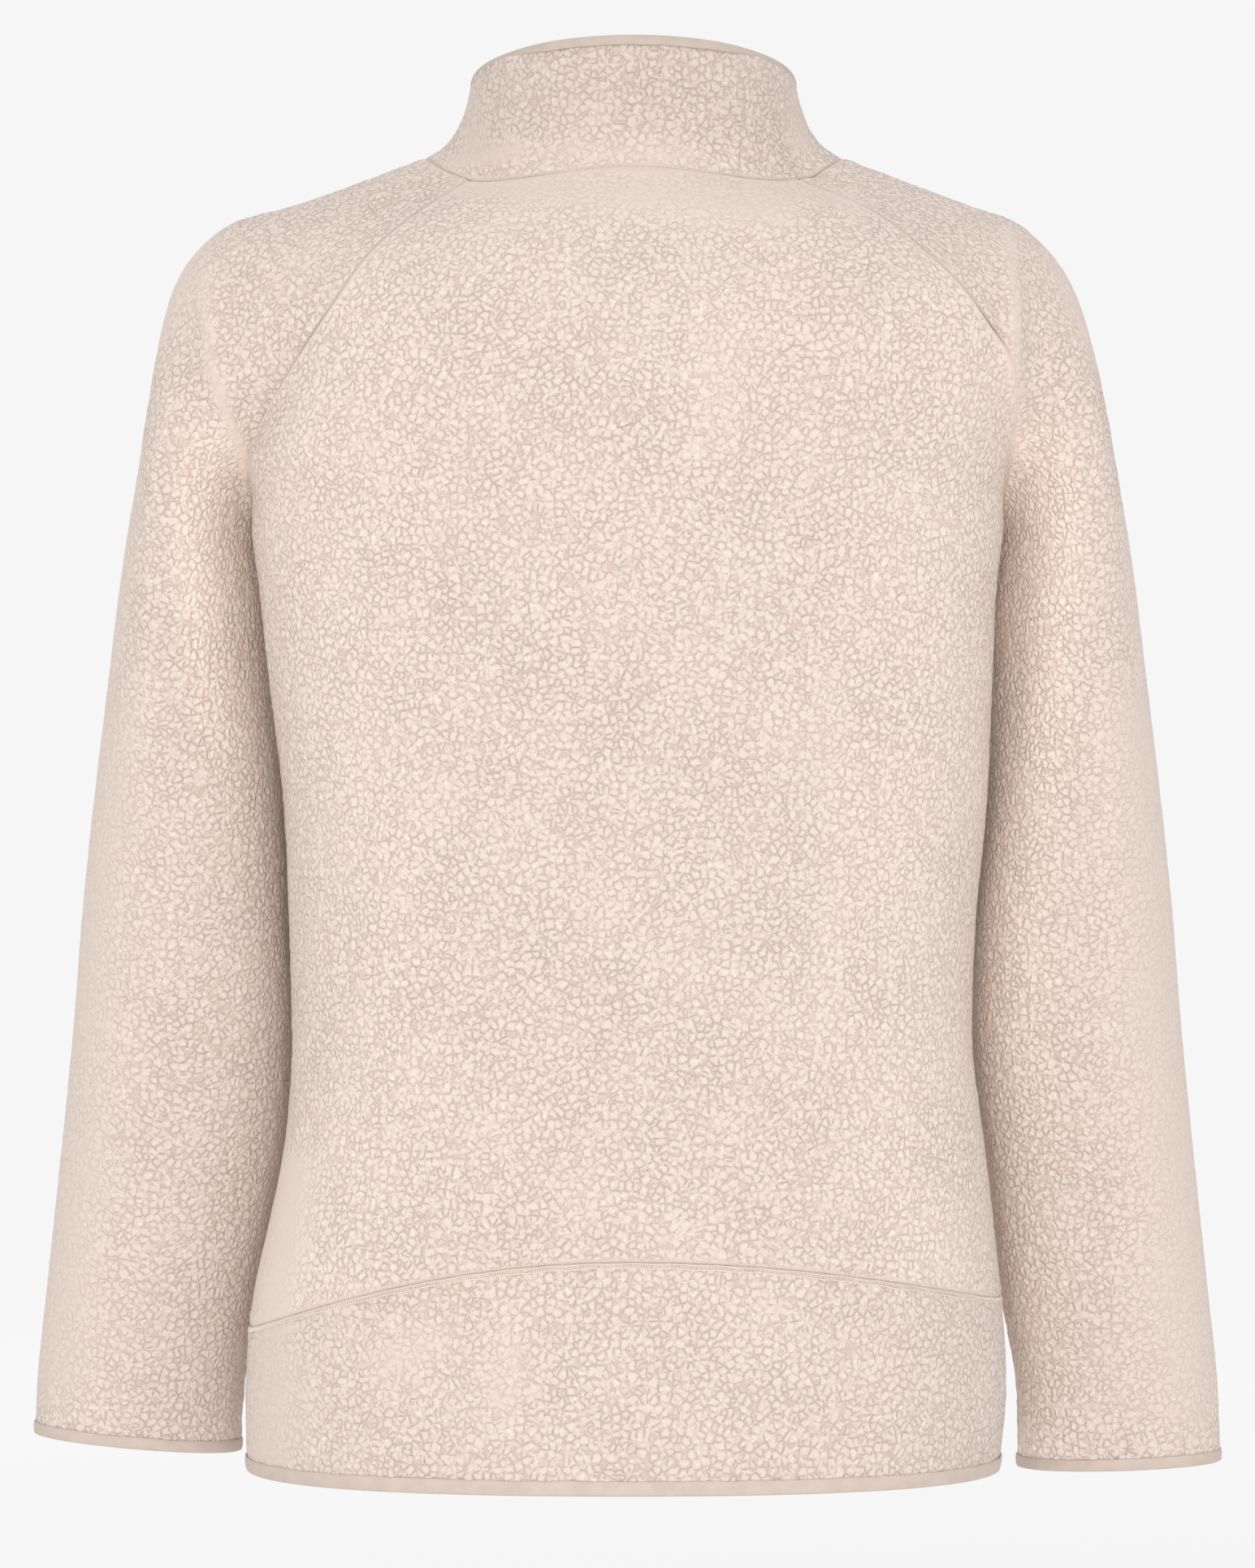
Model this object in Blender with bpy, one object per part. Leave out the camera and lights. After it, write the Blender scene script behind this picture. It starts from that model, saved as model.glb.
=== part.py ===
"""A raglan pile-fleece jacket, filled out as if worn, with a stand collar and a centre-front zip.

Metres, +Z up. The front faces -Y and the wearer's left is +X. The origin is the middle of the
neck base. Each cut piece is one wall of cloth, and the pieces meet at their seams with a small gap.

A level runs down the garment: 0 at the neck seam, 1 where the armhole creases begin, 1.15 at the
bottom of the armhole, 2 at the low seam on the back and 3 at the hem or cuff.
"""
import math

import bmesh
import bpy
import numpy as np

# Cloth
WALL = 0.003                # pile fleece
COLLAR_WALL = 0.004         # two layers of it
SEAM_GAP = 0.0004           # between neighbouring pieces
CREASE_GAP = 0.0003         # extra, each way, where sleeve and body fold back on each other
CREASE_PARTING = 8          # degrees by which they part there
TAPE_WALL = 0.001           # knit tape that binds the edges
TAPE_GAP = 0.0004           # between that tape and the edge it covers
COLLAR_TAPE = 0.0045        # height of the binding on the collar
CUFF_TAPE = 0.0055
HEM_TAPE = 0.0065

# Levels and heights
ARMHOLE = 1.0
UNDERARM = 1.15
CREASE_LEVELS = (0.7, 0.95)             # where the crease gap opens
LOW_SEAM = 2.0
HEM = 3.0
UNDERARM_Z = -0.185
UNDERARM_CENTRE_Z = -0.172
LOW_SEAM_CENTRE_Z = -0.537
LOW_SEAM_SIDE_Z = {1: -0.577, -1: -0.562}
HEM_Z = -0.6465
CUFF_Z = {1: -0.6405, -1: -0.6515}
CUFF_TILT = {1: 0.009, -1: 0.0035}      # the outer side of the cuff is this much higher
CUFF_SLIM = {1: 0.0, -1: 0.006}         # the inner side of the cuff is drawn out by this much
UNDERARM_TILT = 0.005

# Neck seam and collar
NECK_HALF = 0.104
NECK_DEPTH = 0.074                      # back or front of the neck seam from its centre
COLLAR_TOP_HALF = 0.0802
COLLAR_TOP_BACK = 0.053
COLLAR_TOP_FRONT = -0.083
COLLAR_TOP_Z = 0.052
COLLAR_TILT = 0.225                     # fall of the top edge for each metre forward
COLLAR_CLOSING = 8                      # degrees by which it leans in towards the neck there
COLLAR_LEAN = -0.0030                   # the neck sits this far towards the right shoulder
NECK_CENTRE_Y = -0.018

# Zip
ZIP_HALF = 0.005                        # half the slot between the two fronts
CHAIN_HALF = 0.0028
CHAIN_DEPTH = (-0.0041, -0.0020)        # below the face of the cloth
ZIP_TAPE_DEPTH = (-0.0053, -0.0045)
ZIP_TAPE_EDGES = (0.0006, 0.0120)
ZIP_TAPE_SLANT = 0.16                   # the tape follows the curve of the body behind the fronts
ZIP_BOTTOM_RISE = 0.0085                # the zip starts this far above the fronts' lower edge
ZIP_TOP_DROP = 0.0065                   # and ends this far below the collar's edge
ZIP_STEP = 0.002                        # shortest piece of the strips' outline
BOX_LENGTH = 0.010                      # insertion box at the bottom
BOX_HALF = 0.0040
BOX_DEPTH = (-0.0041, -0.0014)
BOX_GAP = 0.0003                        # between the box and the chain
CHAIN_IN_SLIDER = 0.0035                # the chain ends this far below the top of the zip

# Zip slider, and the bridge on it that the pull tab hangs from
SLIDER_LENGTH = 0.0130
SLIDER_DROP = 0.0005                    # below the top of the zip
SLIDER_HALF = 0.0043
SLIDER_FACE = -0.0003                   # outer face of its plate, below the face of the cloth
SLIDER_PLATE = 0.0012
SLIDER_LIP = 0.0009
SLIDER_LIP_DEPTH = -0.0036
BRIDGE_BAR = 0.0010
BRIDGE_HALF_WIDTH = 0.0009
BRIDGE_REACH = 0.0040                   # half its length up the slider
BRIDGE_ROOT = 0.0004                    # how far it runs into the plate
BRIDGE_CLEAR = 0.0003                   # between it and the tab's crossbar
BRIDGE_CORNER = (0.0004, 0.0008)

# Pull tab, measured from its hinge, which stands out from the face of the cloth
HINGE_DEPTH = 0.0007
TAB_LENGTH = 0.0240
TAB_HALF = 0.0032
TAB_HALF_THICKNESS = 0.0006
TAB_CROSSBAR = 0.0006                   # half the height of the bar that runs through the bridge
TAB_EYE_HALF = 0.0019
TAB_EYE_END = 0.0054
TAB_WAIST = 0.009                       # where the tab is narrowest
TAB_WAIST_SHARE = 0.86
TAB_SHOULDER_CUT = 0.0006
TAB_TIP_CUT = (0.0015, 0.0020)

# Row and column counts
YOKE_ROWS = 10
CREASE_ROWS = 3
BODY_ROWS = 9
LOW_ROWS = 4
SLEEVE_ROWS = 10
BACK_COLUMNS = 18
FRONT_COLUMNS = 9
SLEEVE_COLUMNS = 18
COLLAR_ROWS = 5
COLLAR_COLUMNS = 30
TANGENT_STEP = 0.0001       # half the length that a normal is measured over
LEVEL_STEP = 0.01           # half the share of a level that it is measured over
SAMPLES = 48                # points of each curve before it is evenly spaced
STRAIGHT = 0.02             # a curve that bends less than this, in radians, is drawn as straight
SHARP_ANGLE = 40            # degrees between faces beyond which their shared edge is a hard one

# level, seam x, y, z, heading of the ring on the body side, on the sleeve side, its rise (degrees)
RAGLAN_BACK = (
    (0.00, 0.080, 0.028, -0.0145, -50, -50, 10),
    (0.20, 0.109, 0.050, -0.0315, -42, -42, 2),
    (0.40, 0.133, 0.065, -0.0520, -39, -37, 0),
    (0.60, 0.154, 0.070, -0.0770, -42, -31, 0),
    (0.80, 0.174, 0.054, -0.1080, -56, -14, 0),
    (1.00, 0.1875, 0.020, -0.1500, -84, 46, 0),
)
RAGLAN_FRONT = (
    (0.00, 0.0836, -0.061, -0.0120, -131, -131, -24),
    (0.20, 0.102, -0.076, -0.0300, -139, -139, -12),
    (0.40, 0.120, -0.087, -0.0510, -144, -146, -8),
    (0.60, 0.135, -0.093, -0.0770, -147, -154, -5),
    (0.80, 0.149, -0.090, -0.1080, -138, -174, 0),
    (1.00, 0.161, -0.066, -0.1500, -112, -224, 0),
)
# level, top of the shoulder and outside of the arm x, y, z, fullness of the sleeve behind and before
OVERARM = (
    (0.00, 0.103, -0.018, 0.0000, 1.00, 1.00),
    (0.20, 0.1345, -0.017, -0.0120, 1.05, 1.00),
    (0.40, 0.167, -0.017, -0.0240, 1.08, 1.00),
    (0.60, 0.200, -0.018, -0.0360, 1.10, 1.05),
    (0.80, 0.2265, -0.020, -0.0730, 1.22, 1.25),
    (1.00, 0.2400, -0.023, -0.1500, 2.05, 1.75),
    (1.15, 0.2465, -0.024, -0.1800, 2.55, 2.55),
)
# level, centre back y, z, centre front y, z
CENTRES = (
    (0.00, 0.0550, -0.0110, -0.0930, -0.0480),
    (0.20, 0.0790, -0.0370, -0.1010, -0.0660),
    (0.40, 0.0945, -0.0650, -0.1110, -0.0860),
    (0.60, 0.1045, -0.0940, -0.1210, -0.1080),
    (0.80, 0.1100, -0.1240, -0.1300, -0.1330),
    (1.00, 0.1127, -0.1560, -0.1370, -0.1600),
    (1.15, 0.1135, -0.1720, -0.1395, -0.1720),
)
# level, fullness of the body towards the centre back, towards the centre front
FULLNESS = (
    (0.00, 1.00, 1.00),
    (0.60, 1.16, 1.06),
    (0.80, 1.12, 0.96),
    (1.00, 1.05, 0.88),
    (1.15, 1.27, 1.27),
)
# level, sideways shift of the neck and shoulders, of the raglan seams
SHIFTS = (
    (0.00, COLLAR_LEAN, COLLAR_LEAN),
    (0.20, COLLAR_LEAN, -0.009),
    (0.40, -0.002, -0.010),
    (0.60, 0.002, -0.013),
    (0.80, 0.002, -0.012),
    (1.00, 0.000, -0.001),
    (1.15, 0.000, 0.000),
)
# height, body half width on the left, on the right, back y, front y, side seam y,
# how far the side seam is tucked in behind that width, how far the ring has turned past it
BODY = (
    (-0.172, 0.1885, 0.1885, 0.1135, -0.1395, -0.026, 0.0065, 17),
    (-0.213, 0.1822, 0.1825, 0.1145, -0.1420, -0.018, 0.0050, 14),
    (-0.250, 0.1785, 0.1810, 0.1145, -0.1415, -0.012, 0.0035, 10),
    (-0.276, 0.1750, 0.1795, 0.1140, -0.1400, -0.010, 0.0020, 7),
    (-0.313, 0.1700, 0.1775, 0.1125, -0.1370, -0.008, 0.0005, 3),
    (-0.386, 0.1665, 0.1710, 0.1085, -0.1320, -0.008, 0.0000, 0),
    (-0.449, 0.1655, 0.1705, 0.1075, -0.1305, -0.008, 0.0000, 0),
    (-0.485, 0.1685, 0.1755, 0.1090, -0.1310, -0.008, 0.0000, 0),
    (-0.524, 0.1760, 0.1800, 0.1120, -0.1330, -0.008, 0.0000, 0),
    (-0.557, 0.1835, 0.1835, 0.1150, -0.1355, -0.008, 0.0000, 0),
    (-0.608, 0.1880, 0.1865, 0.1185, -0.1380, -0.008, 0.0000, 0),
    (-0.655, 0.1870, 0.1820, 0.1185, -0.1380, -0.008, 0.0000, 0),
)
# height, outside of the sleeve x, how far its inside clears the body's side, front y, back y
SLEEVE = (
    (-0.1825, 0.2465, 0.0003, -0.098, 0.050),
    (-0.2130, 0.2515, 0.0015, -0.098, 0.044),
    (-0.2500, 0.2565, 0.0015, -0.098, 0.034),
    (-0.3100, 0.2645, 0.0010, -0.097, 0.020),
    (-0.3720, 0.2717, 0.0010, -0.098, 0.008),
    (-0.4360, 0.2773, 0.0015, -0.101, -0.001),
    (-0.5000, 0.2842, 0.0015, -0.105, -0.010),
    (-0.5640, 0.2915, 0.0010, -0.109, -0.020),
    (-0.6120, 0.2970, 0.0055, -0.111, -0.029),
    (-0.6600, 0.2990, 0.0095, -0.113, -0.034),
)
# angle round the neck from the back, rise of the collar from the neck seam (degrees)
COLLAR_RISE = (
    (0, 76),
    (45, 58),
    (90, 34),
    (135, 60),
    (180, 80),
)

FLEECE = ((0.80, 0.69, 0.61), 0.95)
BINDING = ((0.74, 0.62, 0.55), 0.85)
ZIP_TAPE = ((0.72, 0.61, 0.53), 0.80)
ZIP_PLASTIC = ((0.70, 0.60, 0.52), 0.45)
ZIP_METAL = ((0.66, 0.60, 0.54), 0.35)


def clear_scene():
    for item in list(bpy.data.objects):
        bpy.data.objects.remove(item, do_unlink=True)


def material(name, finish, metallic=0.0):
    colour, roughness = finish
    made = bpy.data.materials.new(name)
    made.use_nodes = True
    shader = made.node_tree.nodes["Principled BSDF"]
    shader.inputs["Base Color"].default_value = (*colour, 1.0)
    shader.inputs["Roughness"].default_value = roughness
    shader.inputs["Metallic"].default_value = metallic
    return made


def read(table, at):
    """Every column of a table at one key, on a smooth curve through its rows."""
    rows = np.array(table, dtype=float)
    keys = rows[:, 0]
    slopes = np.gradient(rows, keys, axis=0)
    place = int(np.clip(np.searchsorted(keys, at) - 1, 0, len(keys) - 2))
    span = keys[place + 1] - keys[place]
    t = float(np.clip((at - keys[place]) / span, 0.0, 1.0))
    start, end = rows[place], rows[place + 1]
    value = (
        (2 * t**3 - 3 * t**2 + 1) * start
        + (t**3 - 2 * t**2 + t) * span * slopes[place]
        + (3 * t**2 - 2 * t**3) * end
        + (t**3 - t**2) * span * slopes[place + 1]
    )
    return value[1:]


def by_height(table, z):
    """A table keyed by falling heights, read at one height."""
    return read([(-row[0], *row[1:]) for row in table], -z)


def way(heading, rise=0.0):
    """Unit direction from a heading in plan and a rise, both in degrees."""
    turn = math.radians(heading)
    lift = math.radians(rise)
    level = math.cos(lift)
    return np.array((math.cos(turn) * level, math.sin(turn) * level, math.sin(lift)))


def arc(start, start_way, end, end_way, swell=(1.0, 1.0)):
    """Points of a curve that leaves and arrives in the given directions, round where swell is 1."""
    chord = np.linalg.norm(end - start)
    bend = math.acos(float(np.clip(np.dot(start_way, end_way), -1.0, 1.0)))
    reach = chord / 3
    if bend > STRAIGHT:
        reach = chord * (2 / 3) * math.tan(bend / 4) / math.sin(bend / 2)
    first = start + start_way * reach * swell[0]
    second = end - end_way * reach * swell[1]
    t = np.linspace(0.0, 1.0, SAMPLES)[:, None]
    before = (1 - t) ** 3 * start + 3 * (1 - t) ** 2 * t * first
    return before + 3 * (1 - t) * t**2 * second + t**3 * end


def spaced(line, count, trim=(0.0, 0.0)):
    """The line's points moved to even spacing, with its ends trimmed."""
    steps = np.linalg.norm(np.diff(line, axis=0), axis=1)
    run = np.concatenate(([0.0], np.cumsum(steps)))
    places = np.linspace(trim[0], run[-1] - trim[1], count)
    return np.stack([np.interp(places, run, line[:, axis]) for axis in range(3)], axis=1)


def surface(row, levels, count, trim):
    """Grid of points of a piece, and its unit normals; row gives the line at a level."""
    grid, normals = [], []
    for level in levels:
        line = row(level)
        points = spaced(line, count, trim)
        ahead = (trim[0] + TANGENT_STEP, trim[1] - TANGENT_STEP)
        behind = (trim[0] - TANGENT_STEP, trim[1] + TANGENT_STEP)
        along = spaced(line, count, ahead) - spaced(line, count, behind)
        low = min(level + LEVEL_STEP, levels[-1])
        high = max(level - LEVEL_STEP, 0.0)
        down = spaced(row(low), count, trim) - spaced(row(high), count, trim)
        cross = np.cross(down, along)
        grid.append(points)
        normals.append(cross / np.linalg.norm(cross, axis=1)[:, None])
    return np.array(grid), np.array(normals)


def mirrored(points, side):
    return points * np.array((side, 1.0, 1.0))


def side_height(level, side):
    """Height of a body row at the side seam."""
    if level < LOW_SEAM:
        share = (level - UNDERARM) / (LOW_SEAM - UNDERARM)
        return UNDERARM_Z + share * (LOW_SEAM_SIDE_Z[side] - UNDERARM_Z)
    share = (level - LOW_SEAM) / (HEM - LOW_SEAM)
    return LOW_SEAM_SIDE_Z[side] + share * (HEM_Z - LOW_SEAM_SIDE_Z[side])


def centre_height(level):
    """Height of a body row at the centre back and centre front."""
    if level < LOW_SEAM:
        share = (level - UNDERARM) / (LOW_SEAM - UNDERARM)
        return UNDERARM_CENTRE_Z + share * (LOW_SEAM_CENTRE_Z - UNDERARM_CENTRE_Z)
    share = (level - LOW_SEAM) / (HEM - LOW_SEAM)
    return LOW_SEAM_CENTRE_Z + share * (HEM_Z - LOW_SEAM_CENTRE_Z)


def centre_point(level, front):
    if level <= UNDERARM:
        back_y, back_z, front_y, front_z = read(CENTRES, level)
        shift = read(SHIFTS, level)[0]
        return np.array((shift, front_y, front_z) if front else (shift, back_y, back_z))
    z = centre_height(level)
    _, _, back_y, front_y, _, _, _ = by_height(BODY, z)
    return np.array((0.0, front_y if front else back_y, z))


def side_point(z, side):
    """Point of the side seam at one height on the left, and the ring's heading there."""
    left, right, _, _, seam_y, tuck, turn = by_height(BODY, z)
    half = left if side > 0 else right
    return np.array((half - tuck, seam_y, z)), -90.0 - turn


def edge(level, front, side):
    """Edge of a body row, as on the left: point, body-side direction, sleeve-side direction."""
    table = RAGLAN_FRONT if front else RAGLAN_BACK
    if level > UNDERARM:
        point, heading = side_point(side_height(level, side), side)
        return point, way(heading), None
    x, y, z, body_heading, sleeve_heading, rise = read(table, level)
    point = np.array((x + side * read(SHIFTS, level)[1], y, z))
    if level > ARMHOLE:
        share = (level - ARMHOLE) / (UNDERARM - ARMHOLE)
        bottom, bottom_heading = side_point(UNDERARM_Z, side)
        point = point + share * (bottom - point)
        body_heading += share * (bottom_heading - body_heading)
        parted = -270 if front else bottom_heading + 180 - CREASE_PARTING
        sleeve_heading += share * (parted - sleeve_heading)
    return point, way(body_heading, rise), way(sleeve_heading, rise)


def crease_shift(level):
    """Body and sleeve part slightly where they fold back on each other."""
    start, end = CREASE_LEVELS
    share = min(max((level - start) / (end - start), 0.0), 1.0)
    return np.array((CREASE_GAP * share, 0.0, 0.0))


def body_row(level, front, side):
    """Half a ring of the body, from the centre line to its edge, as seen on either side."""
    centre = mirrored(centre_point(level, front), side)
    point, body_way, _ = edge(level, front, side)
    point = point - crease_shift(level)
    fullness = read(FULLNESS, level)[1 if front else 0]
    if front:
        line = arc(point, body_way, centre, way(180), (1.0, fullness))[::-1]
    else:
        line = arc(centre, way(0), point, body_way, (fullness, 1.0))
    return mirrored(line, side)


def sleeve_row(level, side):
    """A ring of the sleeve, from its back edge over the outside to its front edge."""
    if level <= UNDERARM:
        back, _, leave = edge(level, False, side)
        front, _, arrive = edge(level, True, side)
        shift = crease_shift(level)
        back, front = back + shift, front + shift
        x, y, z, back_swell, front_swell = read(OVERARM, level)
        top = np.array((x + side * read(SHIFTS, level)[0], y, z))
    else:
        share = (level - UNDERARM) / (HEM - UNDERARM)
        start_z = UNDERARM_Z + UNDERARM_TILT / 2
        z = start_z + share * (CUFF_Z[side] - start_z)
        tilt = UNDERARM_TILT + share * (CUFF_TILT[side] - UNDERARM_TILT)
        outer, clear, front_y, back_y = by_height(SLEEVE, z)
        seam, heading = side_point(z, side)
        inner = seam[0] + clear + CUFF_SLIM[side] * share**4
        middle = (front_y + back_y) / 2
        back = front = np.array((inner, middle, z - tilt / 2))
        top = np.array((outer, middle, z + tilt / 2))
        back_swell = front_swell = (back_y - front_y) / (outer - inner)
        tucked = min((-90 - heading) / CREASE_PARTING, 1.0)
        leave = way(heading + 180 - CREASE_PARTING * tucked)
        arrive = way(90)
    slope = way(-90)
    behind = arc(back, leave, top, slope, (back_swell, back_swell))
    before = arc(top, slope, front, arrive, (front_swell, front_swell))
    return mirrored(np.concatenate((behind, before[1:])), side)


def neck_ring():
    """The neck seam, from the centre front round the left side, the back and the right side."""
    halves = []
    for side in (1, -1):
        back = body_row(0.0, False, side)
        sleeve = sleeve_row(0.0, side)
        front = body_row(0.0, True, side)[::-1]
        halves.append(np.concatenate((back, sleeve[1:], front[1:])))
    return np.concatenate((halves[0][::-1], halves[1][1:]))


def body_levels():
    yoke = np.linspace(0.0, ARMHOLE, YOKE_ROWS + 1)
    crease = np.linspace(ARMHOLE, UNDERARM, CREASE_ROWS + 1)[1:]
    body = np.linspace(UNDERARM, LOW_SEAM, BODY_ROWS + 1)[1:]
    low = np.linspace(LOW_SEAM, HEM, LOW_ROWS + 1)[1:]
    return np.concatenate((yoke, crease, body)), low


def trim_rows(grid, first, last):
    """Shortens a grid by the given lengths at its first and last row."""
    top = grid[1] - grid[0]
    bottom = grid[-2] - grid[-1]
    grid[0] += top / np.linalg.norm(top, axis=1)[:, None] * first
    grid[-1] += bottom / np.linalg.norm(bottom, axis=1)[:, None] * last
    return grid


def add_mesh(name, points, faces, finish, smooth=True):
    mesh = bpy.data.meshes.new(name)
    mesh.from_pydata([tuple(point) for point in points], [], faces)
    shape = bmesh.new()
    shape.from_mesh(mesh)
    bmesh.ops.recalc_face_normals(shape, faces=shape.faces)
    if shape.calc_volume(signed=True) < 0:
        bmesh.ops.reverse_faces(shape, faces=shape.faces)
    shape.to_mesh(mesh)
    shape.free()
    if smooth:
        mesh.shade_smooth()
        mesh.set_sharp_from_angle(angle=math.radians(SHARP_ANGLE))
    mesh.materials.append(finish)
    item = bpy.data.objects.new(name, mesh)
    bpy.context.scene.collection.objects.link(item)
    return item


def sheet_faces(rows, columns):
    """Faces of a wall: outer sheet, inner sheet and the rim between them."""
    inner = rows * columns
    faces = []
    for row in range(rows - 1):
        for column in range(columns - 1):
            a = row * columns + column
            b, c, d = a + 1, a + columns + 1, a + columns
            faces.append((a, b, c, d))
            faces.append((inner + d, inner + c, inner + b, inner + a))
    rim = [column for column in range(columns)]
    rim += [row * columns + columns - 1 for row in range(1, rows)]
    rim += [(rows - 1) * columns + column for column in range(columns - 2, -1, -1)]
    rim += [row * columns for row in range(rows - 2, 0, -1)]
    for here, there in zip(rim, rim[1:] + rim[:1]):
        faces.append((there, here, inner + here, inner + there))
    return faces


def wall(name, grid, out, thickness, finish):
    """A cloth wall whose outer face is the grid."""
    inner = grid - out * thickness
    points = np.concatenate((grid.reshape(-1, 3), inner.reshape(-1, 3)))
    add_mesh(name, points, sheet_faces(*grid.shape[:2]), finish)


def ring_faces(count, sides, closed):
    """Faces of a section swept through a number of stations, with end caps where it is open."""
    faces = []
    for station in range(count if closed else count - 1):
        following = (station + 1) % count
        for corner in range(sides):
            beside = (corner + 1) % sides
            faces.append((
                station * sides + corner,
                station * sides + beside,
                following * sides + beside,
                following * sides + corner,
            ))
    if not closed:
        faces.append(tuple(range(sides)))
        faces.append(tuple((count - 1) * sides + corner for corner in range(sides)))
    return faces


def binding(name, line, out, past, thickness, height, closed, finish):
    """Tape folded over an edge: line is the edge's outer corner, past points off the edge."""
    gap = TAPE_GAP
    tape = TAPE_WALL
    behind = -thickness - gap
    section = (
        (gap, -height),
        (gap + tape, -height),
        (gap + tape, gap),
        (gap + tape / 3, gap + tape),
        (behind - tape / 3, gap + tape),
        (behind - tape, gap),
        (behind - tape, -height),
        (behind, -height),
        (behind, gap),
        (gap, gap),
    )
    points = []
    for corner, outward, away in zip(line, out, past):
        points += [corner + outward * n + away * d for n, d in section]
    add_mesh(name, points, ring_faces(len(line), len(section), closed), finish)


def off_edge(edge_row, next_row):
    """Directions that leave the cloth across its edge."""
    away = edge_row - next_row
    return away / np.linalg.norm(away, axis=1)[:, None]


def back_row(level):
    """A row of the back from its left edge to its right edge."""
    return np.concatenate((body_row(level, False, 1)[::-1], body_row(level, False, -1)[1:]))


def build_body(fleece, tape):
    upper, low = body_levels()
    half_gap = SEAM_GAP / 2
    back, back_out = surface(back_row, upper, BACK_COLUMNS, (half_gap, half_gap))
    wall("back_panel", trim_rows(back, half_gap, half_gap), back_out, WALL, fleece)
    low_levels = np.concatenate(([LOW_SEAM], low))
    lower, lower_out = surface(back_row, low_levels, BACK_COLUMNS, (half_gap, half_gap))
    wall("lower_back_panel", trim_rows(lower, half_gap, 0.0), lower_out, WALL, fleece)
    hem = {0: (lower, lower_out)}
    for side, label in ((1, "left"), (-1, "right")):
        grid, out = surface(
            lambda level: body_row(level, True, side),
            np.concatenate((upper, low)), FRONT_COLUMNS, (ZIP_HALF, half_gap),
        )
        out = out * side
        wall("front_" + label, trim_rows(grid, half_gap, 0.0), out, WALL, fleece)
        hem[side] = (grid, out)
    build_hem_binding(hem, tape)


def build_hem_binding(hem, tape):
    """One tape round the whole hem, from the left side of the zip to the right side."""
    lines, outs, aways = [], [], []
    for key, backwards in ((1, False), (0, False), (-1, True)):
        grid, out = hem[key]
        away = off_edge(grid[-1], grid[-2])
        step = -1 if backwards else 1
        lines.append(grid[-1][::step])
        outs.append(out[-1][::step])
        aways.append(away[::step])
    joined = [merge_ends(parts) for parts in (lines, outs, aways)]
    joined[1] /= np.linalg.norm(joined[1], axis=1)[:, None]
    binding("hem_binding", *joined, WALL, HEM_TAPE, False, tape)


def merge_ends(parts):
    """Joins rows end to end, with one middle value where two rows meet."""
    joined = parts[0]
    for part in parts[1:]:
        middle = (joined[-1] + part[0]) / 2
        joined = np.concatenate((joined[:-1], [middle], part[1:]))
    return joined


def build_sleeve(side, label, fleece, tape):
    upper = np.concatenate((
        np.linspace(0.0, ARMHOLE, YOKE_ROWS + 1),
        np.linspace(ARMHOLE, UNDERARM, CREASE_ROWS + 1)[1:],
        np.linspace(UNDERARM, HEM, SLEEVE_ROWS + 1)[1:],
    ))
    trims = (SEAM_GAP / 2, SEAM_GAP / 2)
    grid, out = surface(lambda level: sleeve_row(level, side), upper, SLEEVE_COLUMNS, trims)
    grid = trim_rows(grid, SEAM_GAP / 2, 0.0)
    out = out * -side
    wall("sleeve_" + label, grid, out, WALL, fleece)
    away = off_edge(grid[-1], grid[-2])
    line, outward, past = (merge_ring(values) for values in (grid[-1], out[-1], away))
    outward /= np.linalg.norm(outward, axis=1)[:, None]
    binding("cuff_binding_" + label, line, outward, past, WALL, CUFF_TAPE, True, tape)


def merge_ring(values):
    """Closes a row into a ring, with one middle value for its two ends."""
    return np.concatenate(([(values[0] + values[-1]) / 2], values[1:-1]))


def slot_turn(turn):
    """Extra turn towards the back that keeps the zip's slot as wide at the top of the collar."""
    share = max(3 * abs(turn) / math.pi - 2, 0.0)
    return share * (math.asin(ZIP_HALF / COLLAR_TOP_HALF) - math.asin(ZIP_HALF / NECK_HALF))


def collar_grid():
    ring = spaced(neck_ring(), COLLAR_COLUMNS, (ZIP_HALF, ZIP_HALF))
    centre_y = (COLLAR_TOP_BACK + COLLAR_TOP_FRONT) / 2
    depth = (COLLAR_TOP_BACK - COLLAR_TOP_FRONT) / 2
    columns = []
    for base in ring:
        across = (base[0] - COLLAR_LEAN) / NECK_HALF
        behind = (base[1] - NECK_CENTRE_Y) / NECK_DEPTH
        turn = math.atan2(across, behind)
        turn -= math.copysign(slot_turn(turn), turn)
        rim_y = centre_y + depth * math.cos(turn)
        rim_z = COLLAR_TOP_Z - (COLLAR_TOP_BACK - rim_y) * COLLAR_TILT
        rim = np.array((COLLAR_LEAN + COLLAR_TOP_HALF * math.sin(turn), rim_y, rim_z))
        rise = math.radians(read(COLLAR_RISE, abs(math.degrees(turn)))[0])
        inward = -np.array((math.sin(turn), math.cos(turn), 0.0))
        start = inward * math.cos(rise) + np.array((0.0, 0.0, math.sin(rise)))
        closing = math.radians(COLLAR_CLOSING)
        finish = inward * math.sin(closing) + np.array((0.0, 0.0, math.cos(closing)))
        line = arc(base, start, rim, finish)
        columns.append(spaced(line, COLLAR_ROWS + 1, (SEAM_GAP / 2, 0.0)))
    grid = np.array(columns).transpose(1, 0, 2)[::-1]
    cross = np.cross(np.gradient(grid, axis=0), np.gradient(grid, axis=1))
    return grid, cross / np.linalg.norm(cross, axis=2)[:, :, None]


def build_collar(fleece, tape):
    grid, out = collar_grid()
    wall("collar", grid, out, COLLAR_WALL, fleece)
    away = off_edge(grid[0], grid[1])
    binding("collar_binding", grid[0], out[0], away, COLLAR_WALL, COLLAR_TAPE, False, tape)
    return grid


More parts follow.
